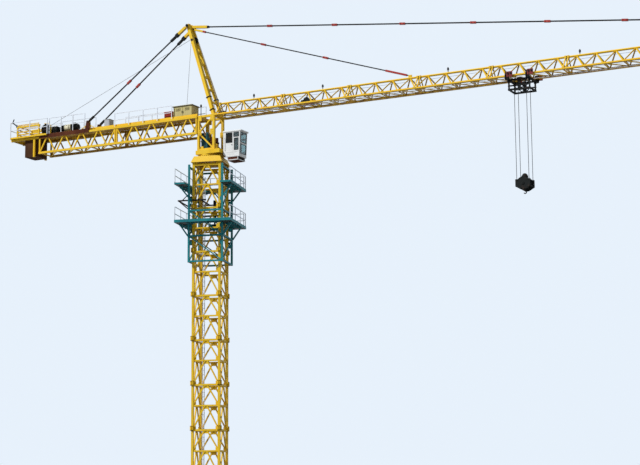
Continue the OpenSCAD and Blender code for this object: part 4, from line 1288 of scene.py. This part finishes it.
@dataclass
class CounterJib:
    """Decks, winch, cabinets, tail frame, ballast fittings and tie brackets of the counter-jib."""

    deck: float = 15.5493
    half: float = 0.345
    jib_z: float = 15.481
    start: float = -0.372
    tail: float = -8.2823
    sheet: float = 0.80
    sheet_half: float = 0.280
    drum: tuple = (-6.8523, 0.0, 15.7993)
    drum_r: float = 0.14
    winding_d: float = 0.0145
    ballast_x: float = -7.7023
    ballast_t: float = 0.54
    tie_foot: float = -4.90
    tie_pin: float = 15.821
    tie_head: tuple = (-0.85, 0.204, 18.851)
    slats: int = 15
    slat_rows: tuple = (15.66, 15.755, 15.85)
    rail_y: float = 0.45
    rail_rows: tuple = (15.84, 16.14)

    def treads(self) -> None:
        """Makes the chequer plates of the deck."""
        piece = Piece("deck_treads", Body.UPPER, YELLOW_TREAD, Slot.YELLOW)
        end = self.ballast_x + self.ballast_t + 0.10
        x = self.start - 0.01
        while x - 0.1 > end:
            low = max(end, x - self.sheet + 0.006)
            piece.box((low, -self.sheet_half, self.deck + 0.0005), (x, self.sheet_half, self.deck + 0.004))
            x -= self.sheet
        piece.done()

    def brackets(self) -> None:
        """Makes the twin plates, pins and stays of the tie brackets, and the dark strips beside the winch
        that paint its frame's shadow.
        """
        piece = Piece("tie_bracket_plates", Body.UPPER, DARK_BROWN_AND_SHADE, Slot.BALLAST)
        stays = Piece("tie_bracket_stays", Body.UPPER, Slot.YELLOW)
        pins = Piece("tie_bracket_pins", Body.UPPER, Slot.DARK)
        foot, base = self.tie_foot, self.jib_z + 0.03
        for y in (-self.half, self.half):
            for face in (y - 0.036, y + 0.036):
                plate = piece.box((foot - 0.115, face - 0.005, base),
                                  (foot + 0.115, face + 0.005, self.tie_pin + 0.050))
                for vert in (v for v in plate if v.co.z > self.jib_z + 0.1):
                    vert.co.x = foot + 0.010 + (vert.co.x - foot) * 0.52
            pins.across(foot + 0.02, self.tie_pin, y - 0.058, y + 0.058, 0.052, 12)
            for low, high in ((0.40, 0.06), (-0.40, -0.05)):
                stays.rod((foot + low, y, base), (foot + high, y, self.jib_z + 0.24), 0.024)
        piece.done(bevel=0.002)
        stays.done()
        pins.done(smooth=True)
        # Painted shadow: dark brown strips along both sides under the winch, where the winch frame's shadow
        # falls.
        shadow_strips = Piece("winch_painted_shadow_strips", Body.UPPER, DARK_BROWN_AND_SHADE, Slot.BALLAST)
        for side in SIDES:
            y = span(side, self.half + 0.052, self.half + 0.060)
            shadow_strips.box((self.drum[0] - 0.15, y[0], self.jib_z - 0.050), (foot + 0.06, y[1], self.deck + 0.030))
        shadow_strips.done(bevel=0.002)

    def couplings(self) -> None:
        """Makes the arms, the red couplings and the dark clevises of the two counter-jib ties."""
        piece = Piece("counter_tie_couplings", Body.UPPER, Slot.RED)
        dark = Piece("counter_tie_clevises", Body.UPPER, Slot.DARK)
        arms = Piece("counter_tie_arms", Body.UPPER, Slot.YELLOW)
        for side in SIDES:
            pin = Vector((self.tie_head[0], side * self.tie_head[1], self.tie_head[2]))
            foot = Vector((self.tie_foot, side * self.half, self.tie_pin))
            line = (foot - pin).normalized()
            middle = pin.lerp(foot, 0.58)
            piece.rod(middle - line * 0.10, middle + line * 0.10, 0.068)
            arms.rod(pin + line * 0.09, pin + line * 0.44, 0.098)
            dark.rod(pin + line * 0.43, pin + line * 0.56, 0.110)
            dark.rod(pin + line * 0.56, pin + line * 0.82, 0.076)
            dark.rod(foot - line * 0.30, foot - line * 0.07, 0.066)
        piece.done(bevel=0.003)
        dark.done(bevel=0.003)
        arms.done(bevel=0.006)

    def winch(self) -> None:
        """Makes the rope on the drum, the motor's fins, the brake and the rope guard."""
        rope = Piece("drum_rope_winding", Body.UPPER, DRUM_ROPE, Slot.ROPE)
        x, _, z = self.drum
        for half, turns, lift in ((0.172, 24, 0.007), (0.150, 20, 0.020)):
            for y in evenly(-half, half, turns):
                rope.ring((x, y, z), CROSSWISE, self.drum_r + lift, self.winding_d, 36)
        rope.done(smooth=True)
        motor = Piece("hoist_motor_fins", Body.UPPER, Slot.DARK)
        for angle, _, _ in rim(22, 1.0):
            place = Matrix.Translation((x, 0, z)) @ Matrix.Rotation(angle, 4, "X")
            for low, high in ((0.57, 0.73), (1.03, 1.25)):
                motor.box((low, -0.003, 0.093), (high, 0.003, 0.114), place)
        motor.rod((x + 1.265, 0, z), (x + 1.295, 0, z), 0.20, 24)
        motor.box((x + 1.08, -0.055, z + 0.09), (x + 1.20, 0.055, z + 0.155))
        brake = Piece("hoist_brake_cover", Body.UPPER, CREAM)
        for low, high, width in ((0.765, 0.995, 0.268), (0.748, 0.768, 0.284), (0.992, 1.012, 0.284)):
            brake.rod((x + low, 0, z), (x + high, 0, z), width, 32)
        brake.done(smooth=True, bevel=0.003)
        for side in SIDES:
            for _, dx, dz in rim(8, 0.17, 0.2):
                motor.bolt((x + dx, side * 0.222, z + dz), (0, side, 0), 0.018)
        motor.done(smooth=True)
        guard = Piece("winch_rope_guard", Body.UPPER, Slot.YELLOW)
        for y in (-0.237, 0.237):
            guard.path([(x + 0.24, y, self.deck + 0.02), (x + 0.24, y, z + 0.10), (x + 0.13, y, z + 0.215),
                        (x - 0.06, y, z + 0.215)], 0.022)
        guard.across(x - 0.05, z + 0.215, -0.237, 0.237, 0.020)
        guard.done()

    def cabinets(self) -> None:
        """Makes doors, roofs, louvres, handles and hinges of the deck cabinets."""
        doors = Piece("cabinet_doors", Body.UPPER, Slot.KHAKI)
        trim = Piece("cabinet_trim", Body.UPPER, BLACK, Slot.DARK)
        deck = self.deck
        for low, high in ((-1.345, -0.990), (-0.980, -0.625)):
            for y in (-0.268, 0.178):
                doors.box((low, y, deck + 0.03), (high, y + 0.010, deck + 0.385))
            middle = (low + high) / 2
            for row in range(6):
                z = deck + 0.25 + row * 0.018
                doors.box((middle - 0.09, -0.276, z), (middle + 0.09, -0.266, z + 0.009))
        for x in (-1.01, -0.96):
            trim.stack(x, -0.285, deck, ((0.16, 0.24, 0.012),), 8)
            for z in (deck + 0.17, deck + 0.23):
                trim.across(x, z, -0.285, -0.262, 0.008, 6)
        trim.box((-1.392, -0.292, deck + 0.405), (-0.578, 0.212, deck + 0.424))
        for x in (-1.34, -0.65):
            trim.stack(x, -0.262, deck, ((0.01, 0.40, 0.008),))
        doors.done(bevel=0.003)
        trim.done(bevel=0.002)
        fins = Piece("resistor_fins", Body.UPPER, Slot.RED)
        for row in range(9):
            z = deck + 0.045 + row * 0.023
            fins.box((-1.735, -0.258, z), (-1.435, -0.249, z + 0.011))
            fins.box((-1.749, -0.245, z), (-1.739, 0.045, z + 0.011))
        fins.box((-1.755, -0.265, deck + 0.262), (-1.415, 0.065, deck + 0.282))
        fins.done(bevel=0.0015)
        grey = Piece("switch_cabinet_door", Body.UPPER, Slot.GREY)
        grey.box((-4.245, -0.268, deck + 0.02), (-4.055, -0.259, deck + 0.28))
        grey.box((-4.272, -0.274, deck + 0.295), (-4.028, 0.012, deck + 0.312))
        grey.done(bevel=0.003)

    def tail_frame(self) -> None:
        """Makes the rows of slats, the railings and the davit round the tail."""
        piece = Piece("tail_slats", Body.UPPER, Slot.YELLOW)
        back, front = self.tail + 0.33, self.ballast_x + self.ballast_t + 0.16
        for side in SIDES:
            y = side * (self.half + 0.08)
            for z in self.slat_rows:
                piece.rod((back, y, z), (front, y, z), 0.034)
            y = side * (self.half + 0.082)
            for x in evenly(back + 0.03, front - 0.03, self.slats):
                piece.stack(x, y, 0.0, ((15.94, 16.015, 0.022),))
            piece.rod((back, y, 16.02), (front, y, 16.02), 0.018)
        for z in (15.66, 15.85, 15.975):
            piece.across(back, z, -self.half - 0.08, self.half + 0.08, 0.034)
        piece.done()
        rails = Piece("tail_railings", Body.UPPER, Slot.GALVANISED)
        x, inner = self.tail + 0.02, self.ballast_x + self.ballast_t + 0.54
        for y in (-self.rail_y, self.rail_y):
            for post in (x, self.tail + 0.88, inner):
                rails.stack(post, y, 0.0, ((15.56, 16.15, 0.022),))
            for z in self.rail_rows:
                rails.rod((x, y, z), (inner, y, z), 0.019)
        for z in self.rail_rows:
            rails.across(x, z, -self.rail_y, self.rail_y, 0.019)
        rails.done()
        davit = Piece("tail_davit", Body.UPPER, Slot.DARK)
        davit.rod((back - 0.04, -0.40, 15.98), (back - 0.26, -0.40, 16.16), 0.030)
        davit.rod((back - 0.26, -0.40, 16.16), (back - 0.20, -0.40, 16.28), 0.026)
        davit.box((back - 0.08, -0.43, 15.95), (back + 0.02, -0.37, 16.00))
        davit.done()

    def ballast(self) -> None:
        """Makes the tie rods with their nuts and the lifting eyes of the ballast slabs."""
        piece = Piece("ballast_rods", Body.UPPER, Slot.DARK)
        low, high = self.ballast_x, self.ballast_x + self.ballast_t
        for y, z in product((-0.20, 0.20), (15.05, 15.36)):
            piece.rod((low - 0.03, y, z), (high + 0.03, y, z), 0.028, 8)
            piece.bolt((low, y, z), (-1, 0, 0), 0.050)
            piece.bolt((high, y, z), (1, 0, 0), 0.050)
        slab = self.ballast_t / 4
        for number, y in product(range(4), (-0.16, 0.16)):
            piece.ring((low + (number + 0.5) * slab, y, self.deck + 0.055), CROSSWISE, 0.030, 0.012, 16)
        piece.done(smooth=True)

    def build(self) -> None:
        """Builds the counter-jib's details."""
        self.treads()
        self.brackets()
        self.couplings()
        self.winch()
        self.cabinets()
        self.tail_frame()
        self.ballast()


@dataclass
class Jib:
    """Section pins, walkway, winch gear, lamps and tip of the jib, and the ropes along it."""

    root: float = 0.3423
    section: float = 2.50
    sections: int = 10
    half: float = 0.345
    chord: float = 0.062
    level: float = 15.481
    top: float = 15.931
    winch_x: float = 3.7798
    winch_axis: float = 0.137
    pulley_x: float = 0.62
    pulley_z: float = 15.531
    guide_x: float = 4.0198
    rope_z: float = 15.441
    hoist_rope_w: float = 0.013
    trolley_rope_w: float = 0.009
    hoist_y: float = 0.18
    trolley_y: float = 0.06
    trolley: float = 11.35
    rope_lug: float = 0.35
    rope_lug_z: float = 15.400
    grating_step: float = 0.045
    lamps: tuple = (1.707, 4.34, 8.86, 13.26, 18.10, 23.00)
    rear_lamp: tuple = (-0.40, 15.53, 0.38)

    @property
    def tip(self) -> float:
        """Gives the x of the jib's end."""
        return self.root + self.sections * self.section

    def pins(self) -> None:
        """Makes the fork plates and pins of the section joints."""
        forks = Piece("jib_joint_forks", Body.UPPER, Slot.YELLOW)
        pins = Piece("jib_joint_pins", Body.UPPER, Slot.DARK)
        level, top = self.level, self.top
        for number in range(1, self.sections):
            x = self.root + number * self.section
            for side in SIDES:
                inner = side * (self.half - self.chord / 2)
                outer = side * (self.half + self.chord / 2 + 0.001)
                y = sorted((inner, inner - side * 0.010))
                forks.box((x - 0.055, y[0], level - 0.008), (x + 0.055, y[1], level + 0.030))
                for shift in (-0.028, 0.028):
                    pins.across(x + shift, level + 0.012, inner - side * 0.018, outer, 0.020, 8)
            for y in (-0.050, 0.050):
                forks.box((x - 0.075, y - 0.005, top - 0.035), (x + 0.075, y + 0.005, top + 0.035))
            pins.across(x, top, -0.066, 0.066, 0.034, 10)
        forks.done(bevel=0.002)
        pins.done(smooth=True)

    def walkway(self) -> None:
        """Makes the grating from the jib's foot to the trolley winch, on its cross bars."""
        piece = Piece("jib_walkway", Body.UPPER, Slot.GALVANISED)
        low, high = self.root + 0.12, self.winch_x - 0.40
        z = self.level + 0.018
        for y in (-0.13, 0.13):
            piece.box((low, y - 0.004, z), (high, y + 0.004, z + 0.026))
        for x in evenly(low, high, int((high - low) / self.grating_step) + 1):
            piece.box((x - 0.002, -0.13, z + 0.006), (x + 0.002, 0.13, z + 0.024))
        piece.done()

    def lifeline(self) -> None:
        """Makes the safety line beside the top chord."""
        piece = Piece("jib_lifeline", Body.UPPER, Slot.ROPE)
        y, z = 0.052, self.top - 0.10
        piece.rod((self.root + 0.10, y, z), (self.tip - 0.10, y, z), 0.008, 6)
        piece.done()

    def winch(self) -> None:
        """Makes the trolley winch's rope, drum cheeks, motor and end frame."""
        rope = Piece("trolley_drum_winding", Body.UPPER, Slot.ROPE)
        x, z, level = self.winch_x, self.level + self.winch_axis, self.level
        for y in evenly(-0.085, 0.085, 12):
            rope.ring((x, y, z), CROSSWISE, 0.096, 0.0125)
        rope.done(smooth=True)
        gear = Piece("trolley_winch_gear", Body.UPPER, Slot.DARK)
        for y in (-0.118, 0.118):
            gear.across(x, z, y - 0.008, y + 0.008, 0.235, 28)
        gear.across(x + 0.22, level + 0.10, -0.11, 0.11, 0.13, 20)
        gear.across(x - 0.20, level + 0.09, -0.08, 0.08, 0.12, 20)
        gear.box((x - 0.235, -0.05, level + 0.13), (x - 0.165, 0.05, level + 0.19))
        gear.done(smooth=True)

    def beacons(self) -> None:
        """Makes the lamps along the top chord and on the counter-jib."""
        posts = Piece("lamp_posts", Body.UPPER, BLACK, Slot.DARK)
        chord_lamps = [(x, self.top + self.chord / 2, 0.07) for x in self.lamps]
        for x, z, tall in (*chord_lamps, self.rear_lamp):
            posts.stack(x, 0, z, ((-0.004, tall, 0.026),), 10)
            posts.stack(x, 0, z + tall, ((0.0, 0.065, 0.066), (0.065, 0.095, 0.056, 0.030)), 16)
        posts.done(smooth=True)

    def moving_ropes(self) -> None:
        """Makes the hoist and trolley ropes: straight runs from fixed points to the trolley's place."""
        end, low = self.tip - 0.12, self.level - 0.059
        near, far = self.trolley - self.rope_lug, self.trolley + self.rope_lug
        hoist, pull, lug, level = self.hoist_rope_w, self.trolley_rope_w, self.rope_lug_z, self.rope_z
        runs = (("hoist_rope_inner", self.pulley_x, self.trolley, -self.hoist_y, level, level, hoist),
                ("hoist_rope_outer", end, self.trolley, self.hoist_y, level, level, hoist),
                ("trolley_rope_inner", self.guide_x, near, -self.trolley_y, low + 0.03, lug, pull),
                ("trolley_rope_outer", end, far, self.trolley_y, low, lug, pull))
        for name, fixed, moving, y, fixed_z, moving_z, width in runs:
            piece = Piece(name, Body.UPPER, Slot.ROPE)
            piece.rod((fixed, y, fixed_z), (moving, y, moving_z), width, 6)
            piece.stretched()

    def still_ropes(self) -> None:
        """Makes the trolley rope's return run and the hoist rope from the cathead to the jib's foot."""
        piece = Piece("still_ropes", Body.UPPER, Slot.ROPE)
        y, z, width = self.trolley_y, self.level + 0.045, self.trolley_rope_w
        piece.rod((self.winch_x, y, z), (self.tip - 0.12, y, z), width, 6)
        piece.rod((self.winch_x + 0.02, -y, z + 0.002), (self.guide_x, -y, self.level - 0.029), width, 6)
        piece.rod((-0.5455, 0.0, 18.359), (self.pulley_x - 0.0843, -self.hoist_y, self.rope_z + 0.0586),
                  self.hoist_rope_w, 6)
        piece.done()

    def ends(self) -> None:
        """Makes the foot pulley, the tip pulleys with their cheeks and the buffers."""
        piece = Piece("jib_end_pulleys", Body.UPPER, Slot.DARK)
        foot, tip, level = self.pulley_x, self.tip, self.level
        for x, z, y, radius in ((foot, self.pulley_z, -self.hoist_y, 0.084),
                                (tip - 0.12, level - 0.007, self.trolley_y, 0.046),
                                (self.guide_x, level - 0.008, -self.trolley_y, 0.018)):
            piece.across(x, z, y - 0.013, y + 0.013, 2 * radius, 28)
            for face in (-0.012, 0.012):
                piece.ring((x, y + face, z), CROSSWISE, radius, 0.012, 28)
        piece.across(foot, self.pulley_z, -self.hoist_y - 0.03, -self.hoist_y + 0.03, 0.030, 12)
        piece.done(smooth=True)
        cheeks = Piece("jib_end_cheeks", Body.UPPER, Slot.YELLOW)
        for shift in (-0.024, 0.024):
            y = shift - self.hoist_y
            cheeks.box((foot - 0.05, y - 0.004, level - 0.02), (foot + 0.05, y + 0.004, self.rope_z + 0.13))
            y = shift + self.trolley_y
            cheeks.box((tip - 0.20, y - 0.004, level - 0.05), (tip - 0.01, y + 0.004, level + 0.03))
        for x in (foot - 0.045, foot + 0.045):
            cheeks.across(x, level + 0.001, -0.34, -0.15, 0.026)
        cheeks.box((tip - 0.15, -0.21, self.rope_z - 0.012), (tip - 0.09, 0.21, level - 0.012))
        cheeks.done(bevel=0.002)
        stops = Piece("trolley_buffers", Body.UPPER, BLACK, Slot.DARK)
        for (x, end), side in product(((1.95, 2.01), (tip - 0.16, tip - 0.22)), SIDES):
            y = side * (self.half + 0.062)
            stops.rod((x, y, level + 0.02), (end, y, level + 0.02), 0.045, 12)
        stops.done(smooth=True)

    def build(self) -> None:
        """Builds the jib's details."""
        self.pins()
        self.walkway()
        self.lifeline()
        self.winch()
        self.beacons()
        self.moving_ropes()
        self.still_ropes()
        self.ends()


@dataclass
class Trolley:
    """Wheel housings, hangers, rails and sheaves of the trolley, and the four rope falls below it."""

    at: float = 11.35
    wheel_x: float = 0.34
    cheek_y: float = 0.436
    wheel_z: float = 15.5233
    beam_z: float = 15.361
    cradle_z: float = 15.051
    sheave_z: float = 15.241
    sheave_r: float = 0.200
    web_r: float = 0.188
    spokes: int = 6
    axle_z: float = 12.06
    frame_y: float = 0.27
    fall_x: float = 0.20
    fall_y: float = 0.18
    fall_w: float = 0.016

    def covers(self) -> None:
        """Makes the dark red housings beside the wheels and the hangers that turn in below to the frame."""
        housing = Piece("trolley_wheel_housings", Body.TROLLEY, HOUSING_RED, Slot.RED)
        hangers = Piece("trolley_hangers", Body.TROLLEY, Slot.DARK)
        top, low = self.wheel_z, self.beam_z + 0.004
        for side, way in product(SIDES, SIDES):
            face = side * self.cheek_y
            y = sorted((face + side * 0.011, face + side * 0.034))
            x = self.at + way * self.wheel_x
            housing.box((x - 0.005, y[0], top - 0.110), (x + 0.190, y[1], top + 0.072))
            for hub in (x + 0.045, x + 0.140):
                hangers.across(hub, top + 0.010, face + side * 0.030, face + side * 0.052, 0.062, 12)
            outer, inner = face + side * 0.024, side * (self.frame_y + 0.020)
            for shift in (-0.052, 0.052):
                bend = (x + shift, outer, low)
                hangers.rod((x + shift, outer, top - 0.015), bend, 0.026)
                hangers.rod(bend, (x + shift * 0.8, inner, low), 0.026)
        housing.done(bevel=0.006)
        hangers.done(bevel=0.003)

    def sheaves(self) -> None:
        """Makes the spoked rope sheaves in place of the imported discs."""
        piece = Piece("trolley_rope_sheaves", Body.TROLLEY, Slot.DARK)
        x, z = self.at, self.sheave_z
        for y in (-self.fall_y, self.fall_y):
            for shift, radius in ((-0.012, self.sheave_r), (0.012, self.sheave_r), (0.0, self.web_r)):
                piece.ring((x, y + shift, z), CROSSWISE, radius, 0.016, 40)
            piece.across(x, z, y - 0.030, y + 0.030, 0.080, 16)
            for _, dx, dz in rim(self.spokes, 1.0, math.radians(15)):
                start, end = (Vector((x + dx * r, y, z + dz * r)) for r in (0.03, self.web_r))
                piece.rod(start, end, 0.016)
        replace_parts(piece.done(smooth=True), "trolley_sheaves")

    def guards(self) -> None:
        """Makes the mid rails and lugs of the frame, the sheaves' outer bosses and the rope lugs."""
        piece = Piece("trolley_rails", Body.TROLLEY, Slot.DARK)
        low, high = self.at - self.wheel_x, self.at + self.wheel_x
        middle, z = self.cradle_z + 0.12, self.beam_z
        for side in SIDES:
            y = side * self.frame_y
            piece.rod((low, y, middle), (high, y, middle), 0.030)
            for x in (low, high):
                piece.box((x - 0.04, y - 0.026, z - 0.075), (x + 0.04, y + 0.026, z - 0.020))
            piece.across(self.at, self.sheave_z, y, y + side * 0.030, 0.070, 16)
        for x, y in ((low, -0.06), (high, 0.06)):
            piece.box((x - 0.018, y - 0.014, z + 0.020), (x + 0.018, y + 0.014, z + 0.052))
        piece.done()

    def falls(self) -> None:
        """Makes the four rope falls from the trolley's sheaves to the hook block."""
        for number, (way, side) in enumerate(product(SIDES, SIDES), 1):
            x, y = self.at + way * self.fall_x, side * self.fall_y
            start, end = (x, y, self.sheave_z), (x, y, self.axle_z)
            piece = Piece(f"hoist_fall_{number}", Body.TROLLEY, GREASED, Slot.ROPE)
            piece.rod(start, end, self.fall_w, 6)
            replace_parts(piece.stretched(), "hoist_falls")

    def build(self) -> None:
        """Builds the trolley's details."""
        self.covers()
        self.guards()
        self.sheaves()
        self.falls()


@dataclass
class HookBlock:
    """Axle caps, bolts, spacers and weight bands of the hook block and the hook's safety latch."""

    at: float = 11.35
    axle_z: float = 12.06
    outer: float = 0.22
    hook_z: float = 11.80
    cheek_bolts: tuple = ((-0.222, -0.084), (0.222, -0.084), (-0.17, 0.10), (0.17, 0.10), (-0.05, -0.165),
                          (0.05, -0.165))
    spacer_x: float = 0.227
    bands: tuple = ((0.145, 0.105), (0.195, 0.105), (0.246, 0.104))

    def plates(self) -> None:
        """Makes the end caps of the axle, the cheek bolts and the spacers."""
        piece = Piece("block_fittings", Body.BLOCK, Slot.DARK)
        for side in SIDES:
            y = side * self.outer
            piece.across(self.at, self.axle_z, y, y + side * 0.016, 0.105, 20)
            piece.across(self.at, self.axle_z, y + side * 0.014, y + side * 0.024, 0.050, 6)
            for x, z in self.cheek_bolts:
                piece.bolt((self.at + x, y, self.axle_z + z), (0, side, 0), 0.026)
        for x in (self.at - self.spacer_x, self.at + self.spacer_x):
            piece.across(x, self.axle_z + 0.10, -self.outer + 0.004, self.outer - 0.004, 0.022, 10)
        piece.done(smooth=True)

    def cap(self) -> None:
        """Makes the bands and the lid of the round weight on top of the block."""
        piece = Piece("block_weight_bands", Body.BLOCK, Slot.DARK)
        for z, radius in self.bands:
            piece.ring((self.at, 0, self.axle_z + z), (0, 0, 1), radius, 0.010, 40)
        piece.stack(self.at, 0, self.axle_z, ((0.318, 0.330, 0.085),), 16)
        piece.done(smooth=True)

    def latch(self) -> None:
        """Makes the hook's latch and its pin."""
        piece = Piece("hook_latch", Body.HOOK, Slot.GALVANISED)
        x, z = self.at - 0.010, self.hook_z + 0.030
        piece.rod((x, 0, z), (self.at + 0.034, 0, self.hook_z - 0.018), 0.012, 6)
        piece.across(x, z, -0.018, 0.018, 0.010, 8)
        piece.done(smooth=True)

    def build(self) -> None:
        """Builds the block's and the hook's details."""
        self.plates()
        self.cap()
        self.latch()


def main() -> None:
    """Builds the studio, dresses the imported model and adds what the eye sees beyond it."""
    logging.basicConfig(level=logging.INFO, format="%(name)s: %(message)s")
    Studio().build()
    CadFinishes().dress()
    turn = Matrix.Rotation(math.radians(MAST_TURN), 4, "Z")
    for assembly in (Mast(turn), Cage(turn), Tower(), Cab(), Cathead(), CounterJib(), Jib(), Trolley(),
                     HookBlock()):
        assembly.build()


if __name__ == "__main__":
    main()
